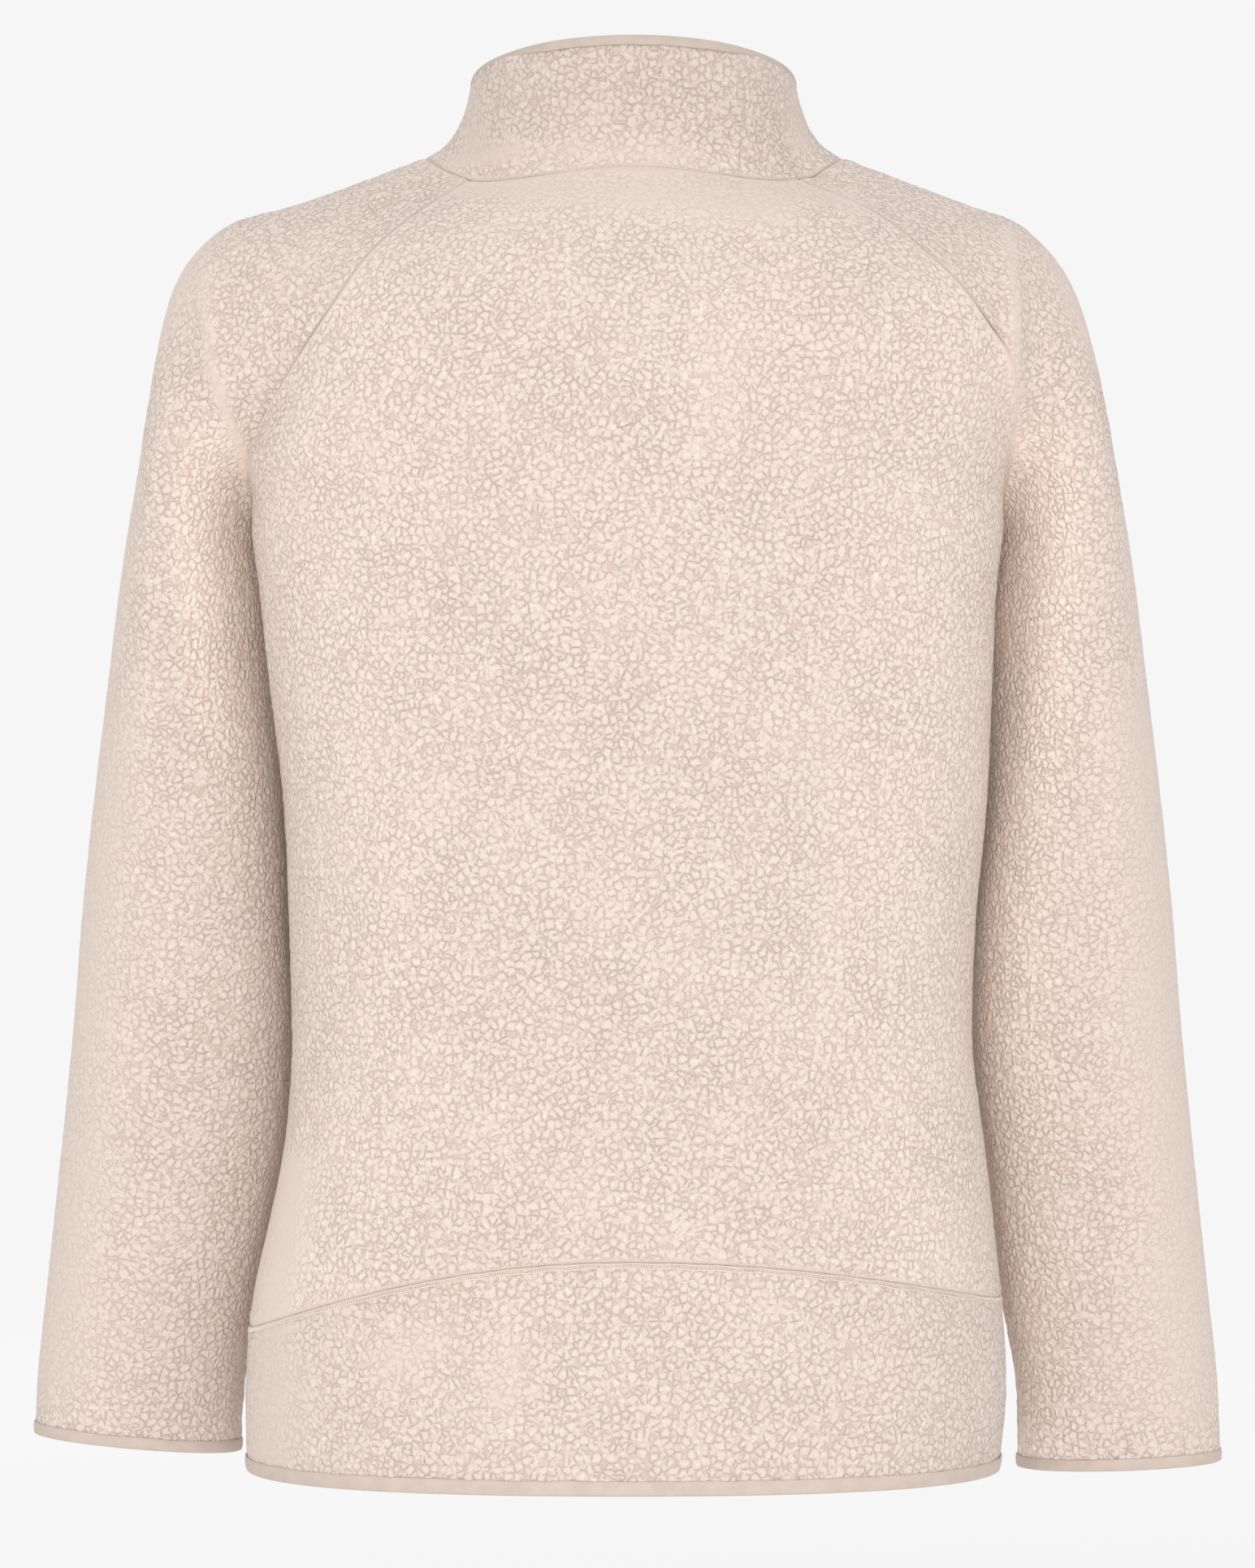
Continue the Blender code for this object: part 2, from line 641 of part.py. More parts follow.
def zip_path(collar):
    """Points up the centre front, their outward directions and the length run from the hem."""
    upper, low = body_levels()
    levels = np.concatenate((upper, low))[::-1]
    fronts = np.array([centre_point(level, True) for level in levels])
    rows = collar[::-1]
    rise = (rows[:, 0] + rows[:, -1]) / 2
    rise[:, 0] = COLLAR_LEAN
    line = np.concatenate((fronts, rise[1:]))
    along = np.gradient(line, axis=0)
    out = np.stack((np.zeros(len(line)), -along[:, 2], along[:, 1]), axis=1)
    out /= np.linalg.norm(out, axis=1)[:, None]
    run = np.concatenate(([0.0], np.cumsum(np.linalg.norm(np.diff(line, axis=0), axis=1))))
    return line, out, run


def on_path(path, place):
    """Point, outward direction and upward direction at a length along the zip."""
    line, out, run = path
    point = np.array([np.interp(place, run, line[:, axis]) for axis in range(3)])
    normal = np.array([np.interp(place, run, out[:, axis]) for axis in range(3)])
    normal /= np.linalg.norm(normal)
    return point, normal, np.array((0.0, normal[2], -normal[1]))


def strip(name, path, span, across, depth, finish):
    """A flat strip along the zip between two lengths."""
    start, end = span
    places = [place for place in path[2] if start + ZIP_STEP < place < end - ZIP_STEP]
    places = [start, *places, end]
    corners = (
        (across[0], depth[0]),
        (across[1], depth[0]),
        (across[1], depth[1]),
        (across[0], depth[1]),
    )
    points = []
    for place in places:
        point, normal, _ = on_path(path, place)
        for x, n in corners:
            sink = max(abs(x) - ZIP_HALF, 0.0) * ZIP_TAPE_SLANT
            points.append(point + np.array((x, 0.0, 0.0)) + normal * (n - sink))
    add_mesh(name, points, ring_faces(len(places), 4, False), finish, smooth=False)


def build_zip(collar, tape, plastic, metal):
    path = zip_path(collar)
    bottom = ZIP_BOTTOM_RISE
    top = path[2][-1] - ZIP_TOP_DROP
    near, far = ZIP_TAPE_EDGES
    strip("zip_tape_left", path, (bottom, top), (near, far), ZIP_TAPE_DEPTH, tape)
    strip("zip_tape_right", path, (bottom, top), (-far, -near), ZIP_TAPE_DEPTH, tape)
    box_top = bottom + BOX_LENGTH
    chain = (box_top + BOX_GAP, top - CHAIN_IN_SLIDER)
    strip("zip_chain", path, chain, (-CHAIN_HALF, CHAIN_HALF), CHAIN_DEPTH, plastic)
    strip("zip_bottom_box", path, (bottom, box_top), (-BOX_HALF, BOX_HALF), BOX_DEPTH, metal)
    build_slider(path, top - SLIDER_DROP, metal)


def slider_frame(path, slider_top):
    """Axes at the middle of the slider: point, across, outward and upward directions."""
    point, normal, up = on_path(path, slider_top - SLIDER_LENGTH / 2)
    return point, np.array((1.0, 0.0, 0.0)), normal, up


def in_frame(frame, corners):
    point, across, normal, up = frame
    return [point + across * x + normal * n + up * z for x, n, z in corners]


def extruded(name, frame, outline, ends, upward, finish):
    """An outline extruded up the slider, or else across it."""
    corners = []
    for end in ends:
        for a, b in outline:
            corners.append((a, b, end) if upward else (end, a, b))
    count = len(outline)
    faces = [tuple(range(count)), tuple(range(count, 2 * count))[::-1]]
    for i in range(count):
        j = (i + 1) % count
        faces.append((i, j, count + j, count + i))
    return add_mesh(name, in_frame(frame, corners), faces, finish, smooth=False)


def build_slider(path, slider_top, metal):
    """A channel that opens inward over the chain, with a bridge on its face."""
    frame = slider_frame(path, slider_top)
    half = SLIDER_HALF
    within = SLIDER_HALF - SLIDER_LIP
    inner = SLIDER_FACE - SLIDER_PLATE
    channel = (
        (-half, SLIDER_LIP_DEPTH),
        (-within, SLIDER_LIP_DEPTH),
        (-within, inner),
        (within, inner),
        (within, SLIDER_LIP_DEPTH),
        (half, SLIDER_LIP_DEPTH),
        (half, SLIDER_FACE),
        (-half, SLIDER_FACE),
    )
    ends = (-SLIDER_LENGTH / 2, SLIDER_LENGTH / 2)
    body = extruded("zip_slider", frame, channel, ends, True, metal)
    reach = BRIDGE_REACH
    post = BRIDGE_REACH - BRIDGE_BAR
    under = HINGE_DEPTH + TAB_HALF_THICKNESS + BRIDGE_CLEAR
    over = under + BRIDGE_BAR
    foot = SLIDER_FACE - BRIDGE_ROOT
    drop, back = BRIDGE_CORNER
    outline = (
        (foot, -reach),
        (over - drop, -reach),
        (over, -reach + back),
        (over, reach - back),
        (over - drop, reach),
        (foot, reach),
        (foot, post),
        (under, post),
        (under, -post),
        (foot, -post),
    )
    ends = (-BRIDGE_HALF_WIDTH, BRIDGE_HALF_WIDTH)
    join(body, extruded("bridge", frame, outline, ends, False, metal))
    build_tab(frame, metal)


def join(body, addition):
    """Unites a second closed shape with the first and drops the second object."""
    bpy.context.view_layer.update()
    union = body.modifiers.new("union", "BOOLEAN")
    union.operation = "UNION"
    union.solver = "EXACT"
    union.object = addition
    addition.hide_render = True
    addition.display_type = "WIRE"


def build_tab(frame, metal):
    """The pull tab hangs from its crossbar along the face of the zip."""
    point, across, normal, up = frame
    hinge = point + normal * HINGE_DEPTH
    half = TAB_HALF
    shoulder = TAB_HALF - TAB_SHOULDER_CUT
    waist = TAB_HALF * TAB_WAIST_SHARE
    tip_half = TAB_HALF - TAB_TIP_CUT[0]
    tip_start = TAB_TIP_CUT[1] - TAB_LENGTH
    outline = (
        (-shoulder, TAB_CROSSBAR),
        (shoulder, TAB_CROSSBAR),
        (half, 0.0),
        (waist, -TAB_WAIST),
        (half, tip_start),
        (tip_half, -TAB_LENGTH),
        (-tip_half, -TAB_LENGTH),
        (-half, tip_start),
        (-waist, -TAB_WAIST),
        (-half, 0.0),
    )
    hole = (
        (-TAB_EYE_HALF, -TAB_CROSSBAR),
        (TAB_EYE_HALF, -TAB_CROSSBAR),
        (TAB_EYE_HALF, -TAB_EYE_END),
        (-TAB_EYE_HALF, -TAB_EYE_END),
    )
    shape = bmesh.new()
    loops = []
    for n in (-TAB_HALF_THICKNESS, TAB_HALF_THICKNESS):
        outer = [shape.verts.new(across * x + normal * n + up * z) for x, z in outline]
        inner = [shape.verts.new(across * x + normal * n + up * z) for x, z in hole]
        loops.append((outer, inner))
    for outer, inner in loops:
        edges = []
        for loop in (outer, inner):
            edges += [shape.edges.new((a, b)) for a, b in zip(loop, loop[1:] + loop[:1])]
        bmesh.ops.triangle_fill(shape, use_beauty=True, edges=edges)
    for near, far in zip(loops[0], loops[1]):
        for i in range(len(near)):
            j = (i + 1) % len(near)
            shape.faces.new((near[i], near[j], far[j], far[i]))
    bmesh.ops.recalc_face_normals(shape, faces=shape.faces)
    mesh = bpy.data.meshes.new("zip_pull_tab")
    shape.to_mesh(mesh)
    shape.free()
    mesh.materials.append(metal)
    tab = bpy.data.objects.new("zip_pull_tab", mesh)
    tab.location = hinge
    bpy.context.scene.collection.objects.link(tab)


def main():
    clear_scene()
    fleece = material("fleece", FLEECE)
    tape = material("binding", BINDING)
    zip_tape = material("zip_tape", ZIP_TAPE)
    plastic = material("zip_plastic", ZIP_PLASTIC)
    metal = material("zip_metal", ZIP_METAL, metallic=0.9)
    build_body(fleece, tape)
    build_sleeve(1, "left", fleece, tape)
    build_sleeve(-1, "right", fleece, tape)
    collar = build_collar(fleece, tape)
    build_zip(collar, zip_tape, plastic, metal)


main()
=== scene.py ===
"""Looks for a raglan pile-fleece jacket, seen from behind, filled out as if worn.

Metres, +Z up; the tables of shape and folds are written in millimetres and degrees. The front faces
-Y and the wearer's left is +X. Every cloth piece is a thin closed shell on the form of the solid it
stands for. A level runs down the garment: 0 at the neck seam, 1 where the armhole creases begin,
1.15 at the bottom of the armhole, 2 at the low seam on the back and 3 at the hem or cuff.
"""
import math

import bmesh
import bpy
import numpy as np
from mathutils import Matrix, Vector


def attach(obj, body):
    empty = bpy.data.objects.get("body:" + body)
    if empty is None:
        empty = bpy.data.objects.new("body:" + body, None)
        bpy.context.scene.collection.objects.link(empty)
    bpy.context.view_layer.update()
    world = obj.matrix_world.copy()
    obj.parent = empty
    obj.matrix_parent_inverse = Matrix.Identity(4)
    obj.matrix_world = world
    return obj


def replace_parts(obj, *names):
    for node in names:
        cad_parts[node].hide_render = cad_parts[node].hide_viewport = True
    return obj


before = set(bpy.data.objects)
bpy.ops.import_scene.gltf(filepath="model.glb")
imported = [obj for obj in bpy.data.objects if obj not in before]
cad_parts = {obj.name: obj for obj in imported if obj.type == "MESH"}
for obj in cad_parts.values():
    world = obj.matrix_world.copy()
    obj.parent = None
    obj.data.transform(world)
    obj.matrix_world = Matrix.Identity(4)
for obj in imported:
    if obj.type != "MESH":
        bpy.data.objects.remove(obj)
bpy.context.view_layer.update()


def metres(first, last, rows):
    """Rows whose columns from first to last are turned from millimetres into metres."""
    return tuple(
        tuple(value / 1000 if first <= place <= last else value for place, value in enumerate(row))
        for row in rows
    )


# Cloth
WALL = 0.003  # pile fleece
COLLAR_WALL = 0.004  # two layers of it
SEAM_GAP = 0.00004  # between neighbouring pieces, drawn together by their seams
CREASE_GAP = 0.00001  # extra, each way, where sleeve and body fold back on each other
CREASE_PARTING = 8  # degrees by which they part there
TAPE_WALL = 0.0007  # knit tape that binds the edges
TAPE_GAP = 0.0002  # between that tape and the edge it covers
COLLAR_TAPE = 0.0045  # height of the binding on the collar
CUFF_TAPE = 0.0055
HEM_TAPE = 0.0065

# Levels and heights
ARMHOLE = 1.0
UNDERARM = 1.15
CREASE_LEVELS = (0.7, 0.95)  # where the crease gap opens
LOW_SEAM = 2.0
HEM = 3.0
UNDERARM_Z = -0.185
UNDERARM_CENTRE_Z = -0.172
LOW_SEAM_CENTRE_Z = -0.537
LOW_SEAM_SIDE_Z = {1: -0.577, -1: -0.562}  # on the left and on the right, here and below
HEM_Z = -0.6465
CUFF_Z = {1: -0.6405, -1: -0.6515}
CUFF_TILT = {1: 0.009, -1: 0.0035}  # the outer side of the cuff is this much higher
CUFF_SLIM = {1: 0.0, -1: 0.006}  # the inner side of the cuff is drawn out by this much
UNDERARM_TILT = 0.005

# Neck seam and collar
NECK_HALF = 0.104
NECK_DEPTH = 0.074  # back or front of the neck seam from its centre
NECK_CENTRE_Y = -0.018
COLLAR_TOP_HALF = 0.0802
COLLAR_TOP_BACK = 0.053
COLLAR_TOP_FRONT = -0.083
COLLAR_TOP_Z = 0.052
COLLAR_TILT = 0.225  # fall of the top edge for each metre forward
COLLAR_CLOSING = 8  # degrees by which it leans in towards the neck there
COLLAR_LEAN = -0.003  # the neck sits this far towards the right shoulder

# Zip
SIDES = ((1, "left"), (-1, "right"))
ZIP_HALF = 0.005  # half the slot between the two fronts
CHAIN_DEPTH = 0.002  # of the chain's face below the cloth's
ZIP_TAPE_HEIGHT = (-0.0053, -0.0045)  # back and front of the tape over the cloth's face
ZIP_TAPE_EDGES = (0.0006, 0.0120)
ZIP_TAPE_SLANT = 0.16  # the tape follows the curve of the body behind the fronts
ZIP_TAPE_STEP = 0.004
ZIP_BOTTOM_RISE = 0.0085  # the zip starts this far above the fronts' lower edge
ZIP_TOP_DROP = 0.0065  # and ends this far below the collar's edge
CHAIN_START = 0.0109  # the chain starts above the insertion box
CHAIN_STOP = 0.0045  # and stops this far below the top of the tapes
CORD = (0.0008, 0.0018, 0.0002)  # crest, width and height of the cord along each tape
SOFT_EDGE = 0.0002

# level, seam x, y, z, heading of the ring on the body side, on the sleeve side, its rise
RAGLAN_BACK = metres(1, 3, (
    (0, 80, 28, -14.5, -50, -50, 10),
    (0.2, 109, 50, -31.5, -42, -42, 2),
    (0.4, 133, 65, -52, -39, -37, 0),
    (0.6, 154, 70, -77, -42, -31, 0),
    (0.8, 174, 54, -108, -56, -14, 0),
    (1, 187.5, 20, -150, -84, 46, 0),
))
RAGLAN_FRONT = metres(1, 3, (
    (0, 83.6, -61, -12, -131, -131, -24),
    (0.2, 102, -76, -30, -139, -139, -12),
    (0.4, 120, -87, -51, -144, -146, -8),
    (0.6, 135, -93, -77, -147, -154, -5),
    (0.8, 149, -90, -108, -138, -174, 0),
    (1, 161, -66, -150, -112, -224, 0),
))
# level, top of the shoulder and outside of the arm x, y, z, fullness of the sleeve behind and before
OVERARM = metres(1, 3, (
    (0, 103, -18, 0, 1, 1),
    (0.2, 134.5, -17, -12, 1.05, 1),
    (0.4, 167, -17, -24, 1.08, 1),
    (0.6, 200, -18, -36, 1.1, 1.05),
    (0.8, 226.5, -20, -73, 1.22, 1.25),
    (1, 240, -23, -150, 2.05, 1.75),
    (1.15, 246.5, -24, -180, 2.55, 2.55),
))
# level, centre back y, z, centre front y, z
CENTRES = metres(1, 4, (
    (0, 55, -11, -93, -48),
    (0.2, 79, -37, -101, -66),
    (0.4, 94.5, -65, -111, -86),
    (0.6, 104.5, -94, -121, -108),
    (0.8, 110, -124, -130, -133),
    (1, 112.7, -156, -137, -160),
    (1.15, 113.5, -172, -139.5, -172),
))
# level, fullness of the body towards the centre back, towards the centre front
FULLNESS = (
    (0, 1, 1),
    (0.6, 1.16, 1.06),
    (0.8, 1.12, 0.96),
    (1, 1.05, 0.88),
    (1.15, 1.27, 1.27),
)
# level, sideways shift of the neck and shoulders, of the raglan seams
SHIFTS = metres(1, 2, (
    (0, -3, -3),
    (0.2, -3, -9),
    (0.4, -2, -10),
    (0.6, 2, -13),
    (0.8, 2, -12),
    (1, 0, -1),
    (1.15, 0, 0),
))
# height, body half width on the left, on the right, back y, front y, side seam y,
# how far the side seam is tucked in behind that width, how far the ring has turned past it
BODY = metres(0, 6, (
    (-172, 188.5, 188.5, 113.5, -139.5, -26, 6.5, 17),
    (-213, 182.2, 182.5, 114.5, -142, -18, 5, 14),
    (-250, 178.5, 181, 114.5, -141.5, -12, 3.5, 10),
    (-276, 175, 179.5, 114, -140, -10, 2, 7),
    (-313, 170, 177.5, 112.5, -137, -8, 0.5, 3),
    (-386, 166.5, 171, 108.5, -132, -8, 0, 0),
    (-449, 165.5, 170.5, 107.5, -130.5, -8, 0, 0),
    (-485, 168.5, 175.5, 109, -131, -8, 0, 0),
    (-524, 176, 180, 112, -133, -8, 0, 0),
    (-557, 183.5, 183.5, 115, -135.5, -8, 0, 0),
    (-608, 188, 186.5, 118.5, -138, -8, 0, 0),
    (-655, 187, 182, 118.5, -138, -8, 0, 0),
))
# height, outside of the sleeve x, how far its inside clears the body's side, front y, back y
SLEEVE = metres(0, 4, (
    (-182.5, 246.5, 0.3, -98, 50),
    (-213, 251.5, 1.5, -98, 44),
    (-250, 256.5, 1.5, -98, 34),
    (-310, 264.5, 1, -97, 20),
    (-372, 271.7, 1, -98, 8),
    (-436, 277.3, 1.5, -101, -1),
    (-500, 284.2, 1.5, -105, -10),
    (-564, 291.5, 1, -109, -20),
    (-612, 297, 5.5, -111, -29),
    (-660, 299, 9.5, -113, -34),
))
# angle round the neck from the back, rise of the collar from the neck seam
COLLAR_RISE = ((0, 76), (45, 54), (90, 20), (135, 56), (180, 80))

# Dense grids of the visible cloth
YOKE_ROWS = 100
CREASE_ROWS = 16
BODY_ROWS = 206
LOW_ROWS = 56
SLEEVE_ROWS = 268
YOKE_RATE = 6.5  # levels to the metre there, which space the close rows beside a seam
BODY_RATE = 2.35
LOW_RATE = 9.5
BACK_COLUMNS = 262
FRONT_COLUMNS = 112
SLEEVE_COLUMNS = 174
COLLAR_ROWS = 42
COLLAR_COLUMNS = 330
ZIP_POINTS = 420
INNER_STEP = 5  # the inner sheet keeps one row or column in this many
TAPE_STEP = 2  # and a binding this many
EDGE_STEPS = np.array((0.0, 0.0005, 0.0011, 0.0019))  # close rows and columns beside a seam
SAMPLES = 150  # points on each arc
STRAIGHT = 0.02  # radians; an arc that bends less counts as straight
SMOOTHING = 14  # passes down the columns
LOW_SMOOTHING = 4
ZIP_SMOOTHING = 6
EASED_LEVELS = (0.70, 0.95, 1.30, 1.50)  # where the shoulder runs on into the sleeve
EASED_COLUMNS = (0.08, 0.25)  # shares of its width from a seam over which that fades in
EASING = 70  # smoothing passes there

# Seams: how deep each dips and how far from it the pile is pressed flat
SEAM_DIP = 0.0006
BODY_SEAM = (SEAM_DIP, 0.0022)
SIDE_SEAM = (SEAM_DIP, 0.0045)
NECK_SEAM = (SEAM_DIP, 0.006)
ARM_SEAM = (SEAM_DIP, 0.0012)
ZIP_SEAM = (SEAM_DIP, 0.006)
COLLAR_ZIP_SEAM = (0.0004, 0.006)
BOUND_EDGE = (0.0, 0.0010)
SEAM_WIDTH = 0.0011
SEAM_TONE = 0.16  # how much darker the cloth is right at a seam
TONE_WIDTH = 0.0008
SEAM_LIP = (0.0003, 0.0045, 0.0028)  # height, distance and width of the swell beside a seam
NECK_SEAM_SHOWS = 0.7  # the pile closes over the neck seam
NECK_SEAM_MIDDLE = (0.10, 0.032, 0.048)  # share that shows in the middle, x over which it grows
PRESSED = 0.80  # how flat the pile is pressed at a seam
PRESSED_REACH = (0.35, 1.15)  # shares of the seam's own reach over which that fades out
PRESSED_WANDER = (0.45, 95.0)  # how uneven that is: share and rate
NAP_WANDER = (0.14, 60.0)
NAP_LIMITS = (0.03, 1.2)
PLUMP = 0.0013  # pile that fills the crease between sleeve and body
PLUMP_WIDTH = 0.006
CREASE_SOFTNESS = 0.45  # how much shallower a seam is there
CREASE_FILL = (0.65, 0.95)  # levels over which the crease fills
COLLAR_TAPE_NARROWS = 0.45  # at the sides, where it also sinks
COLLAR_TAPE_SINKS = 0.0018
COLLAR_TAPE_X = (0.040, 0.062)  # over which it does so
TAPE_WAVES = ((0.05, 210.0, 2), (0.03, 620.0, 3))  # share, rate and seed of its uneven border

# Pile
CURLS = 262.0  # curls to the metre
PILE_HEIGHT = 0.0014
BUMP_DEPTH = 0.00086
CURL_WARPS = ((85.0, 0.0018, 1.0), (260.0, 0.0011, 2.0))  # scale, reach, detail
CURL_SLOPE = 0.50
KNIT_DEPTH = 0.00012
TWIST_DEPTH = 0.00008
WEAR_DEPTH = 0.00004
INNER_NAP = 0.45
# how far the grooves between curls are darkened: painted shade
GROOVE_SHADE_SHARE = 0.38
COLLAR_PAINTED_SHADE = 0.90  # how light the collar is, at its edge: painted shade where it tilts away from the light
COLLAR_FOOT_PAINTED_SHADE = 0.97  # and at the neck seam, where that painted shade is slighter
COLLAR_FADE = (0.45, 1.0)  # shares of the way down over which that changes
SIDE_PAINTED_LIGHT = 0.07  # painted light: how much lighter the back is towards its sides
SIDE_FACING = (0.15, 0.65)
ARMPIT_PAINTED_LIGHT = 0.26  # and painted light on the sleeves' inner face at the armpit
ARMPIT_Z = (-0.36, -0.22)
INNER_FACING = (0.0, 0.8)
SLEEVE_PAINTED_LIGHT = {1: 0.06, -1: 0.22}  # and that painted light below it, on the left and on the right

# Linear colours
PILE_WARM = (0.633, 0.525, 0.466)
PILE_COOL = (0.623, 0.525, 0.471)
# painted light on the tops of the curls
PILE_TOP_PAINTED_LIGHT = (0.692, 0.594, 0.536)
# painted shade in the grooves between curls
PILE_GROOVE_SHADE = (0.444, 0.324, 0.255)
PILE_CALM = (0.596, 0.495, 0.438)
# painted highlights, as scattered bright specks
PILE_HIGHLIGHT = (0.846, 0.771, 0.705)
BINDING = (0.528, 0.432, 0.372)
BINDING_LIGHT = (0.568, 0.474, 0.416)
ZIP_TAPE = (0.640, 0.520, 0.440)
ZIP_PLASTIC = (0.700, 0.590, 0.510)
ZIP_METAL = (0.470, 0.400, 0.340)
THREAD_LIGHT = (0.820, 0.730, 0.640)
THREAD_DARK = (0.640, 0.530, 0.440)
BACKDROP = (0.922, 0.922, 0.922)
FLOOR_COLOUR = (0.20, 0.20, 0.20)

# Stitches and zip coil
THREAD = 0.00028
THREAD_SIDES = 6
LADDER_ROW = 3  # the row of the low panel that gives them their columns
LADDER_PITCH = 0.0012
LADDER_TOP = 0.0006
LADDER_WIDTH = 0.0022
LADDER_END = 0.004  # from the side seams
LADDER_WANDER = (0.0002, 310.0)
LIFTS = (0.0001, 0.0003, 0.0004)  # ends, rails and middles of the stitches over the cloth
NECK_STITCHES = (-0.0329, -0.0120, 0.006)  # x from and to, length below the neck seam
NECK_PITCH = (0.0024, 0.0015)  # of these stitches, and their length
NECK_ROW = 20  # the row of the back that gives them their columns
ZIP_PITCH = 0.0007
COIL_HALF = 0.0005
COIL_SHAPE = (  # across the chain, height over its face, share of the size
    (0.0027, -0.0009, 0.7),
    (0.0022, -0.0002, 1),
    (0.001, 0.0002, 1),
    (0, 0.0002, 1),
    (-0.0005, -0.0003, 0.8),
)
DIRECTIONS = (  # directions of the slow variation, by seed
    (1.0, 0.6, 0.8),
    (0.5, 1.1, -0.7),
    (-0.9, 0.4, 1.0),
    (0.7, -1.0, 0.5),
)

# Room
FLOOR_Z = -0.80
FLOOR_SIZE = 3.2
FLOOR_SIDES = 96
FLOOR_FADE = (1.0, 3.1)  # distances from the middle over which it fades out
FLOOR_GLOW = 0.753
CAMERA_PLACE = (0.0, 3.0, -0.31)
CAMERA_LENS = 139.8
AIM = (0.0, 0.0, -0.3)
LAMPS = (  # name, place, size, power
    ("key", (1.7, 2.7, 0.7), 1.0, 9.0),
    ("axis", (0.0, 3.7, -0.3), 1.3, 55.0),
    ("fill", (-1.7, 2.7, 0.5), 1.4, 8.0),
    ("front", (0.6, -3.4, 0.6), 1.8, 36.0),
)

# Folds on the back, 1, and on the front, -1: x and z of both ends, width, height of a ridge, or
# less than 0 for a trough
FOLDS = {1: metres(0, 5, (
    (207.5, -55, 201, -110, 7, 2),
    (201, -110, 185, -158, 6.5, 2.6),
    (219, -85, 208, -150, 9, -2.2),
    (190, -75, 183, -120, 8, -1.2),
    (-185.6, -45, -187.5, -150, 6, 2.2),
    (-199, -70, -199, -160, 9, -2),
    (-175, -60, -176, -110, 8, -1),
    (-94, -290, -93, -400, 10, -1.1),
    (-80, -250, -78, -380, 12, 0.9),
    (120, -320, 105, -470, 18, 1.4),
    (90, -575, 87, -640, 11, -1.4),
    (60, -570, 59, -640, 12, 1.4),
    (30, -580, 31, -640, 12, -1),
    (-70, -580, -72, -640, 14, 1),
    (-105, -575, -108, -640, 12, -1.1),
    (256, -330, 225, -365, 8, -1.2),
    (262, -415, 220, -440, 9, -1.4),
    (260, -430, 230, -455, 7, 1),
    (-260, -350, -225, -372, 8, -1.3),
    (-260, -455, -222, -480, 9, -1.1),
    (85, -7, 56, -3, 5, 2),
    (56, -3, 42, 0, 4, 1.2),
    (78, -14.2, 60, -13.8, 2.2, -1.6),
    (60, -13.8, 40, -6, 2.2, -1.4),
    (-61, -6.5, -67, -9.5, 2.2, -1.4),
    (-67, -9.5, -101, -11.5, 2.4, -1.4),
)), -1: metres(0, 5, (
    (135, -150, 95, -225, 12, -2.2),
    (120, -130, 80, -210, 12, 1.8),
    (-133, -145, -88, -230, 12, -2),
    (-119, -125, -83, -200, 11, 1.8),
    (55, -400, 60, -620, 17, 1.8),
    (90, -430, 98, -630, 15, -1.6),
    (-62, -380, -57, -600, 17, 1.6),
    (-100, -450, -108, -630, 15, -1.5),
    (250, -350, 215, -385, 10, -2),
    (256, -390, 215, -420, 10, -1.8),
    (254, -370, 220, -400, 8, 1.4),
    (-250, -360, -215, -390, 10, -2),
    (-256, -410, -218, -440, 10, -1.7),
))}
FOLD_FACING = (-0.1, 0.45)
FOLD_END = (-0.25, 0.3)
# Calm places of the back: x and z of both ends, width, how flat the pile is pressed
CALM = metres(0, 4, (
    (50, -23, -72, -31, 15, 0.55),
    (76, -22, 42, -19, 8, 0.6),
    (-60, -21, -110, -27, 8, 0.55),
    (165, -500, 172, -570, 13, 0.8),
    (172, -590, 176, -640, 16, 0.6),
    (60, -575, 58, -600, 12, 0.3),
    (115, -585, 90, -575, 12, 0.35),
    (-95, -260, -95, -420, 10, 0.16),
    (-40, -70, -45, -150, 16, 0.18),
    (208, -60, 202, -108, 3.5, 0.5),
    (202, -108, 186, -156, 3.8, 0.72),
    (-186, -40, -188, -150, 3.5, 0.55),
    (210, -38, 233, -90, 9, 0.6),
    (244, -150, 295, -600, 8.5, 0.5),
    (-210, -40, -232, -100, 9, 0.55),
    (262, -280, 285, -600, 26, 0.52),
    (-260, -280, -283, -600, 30, 0.56),
    (-248, -180, -296, -600, 8.5, 0.5),
    (75, 5, 78, 30, 8, 0.5),
    (-85, 5, -86, 30, 8, 0.5),
    (60, -4, -30, -6, 6, 0.35),
    (83, -5, 53, -2, 5.5, 0.7),
))
CALM_FACING = (-0.25, 0.1)


# ---- curves ----
def read(table, at):
    """Every column of a table at one key, on a smooth curve through its rows."""
    rows = np.array(table, dtype=float)
    keys = rows[:, 0]
    slopes = np.gradient(rows, keys, axis=0)
    place = int(np.clip(np.searchsorted(keys, at) - 1, 0, len(keys) - 2))
    span = keys[place + 1] - keys[place]
    t = float(np.clip((at - keys[place]) / span, 0.0, 1.0))
    value = (
        (2 * t**3 - 3 * t**2 + 1) * rows[place]
        + (t**3 - 2 * t**2 + t) * span * slopes[place]
        + (3 * t**2 - 2 * t**3) * rows[place + 1]
        + (t**3 - t**2) * span * slopes[place + 1]
    )
    return value[1:]


def by_height(table, z):
    """A table keyed by falling heights, read at one height."""
    return read([(-row[0], *row[1:]) for row in table], -z)


def way(heading, climb=0.0):
    """Unit direction from a heading in plan and a climb, both in degrees."""
    turn = math.radians(heading)
    lift = math.radians(climb)
    level = math.cos(lift)
    return np.array((math.cos(turn) * level, math.sin(turn) * level, math.sin(lift)))


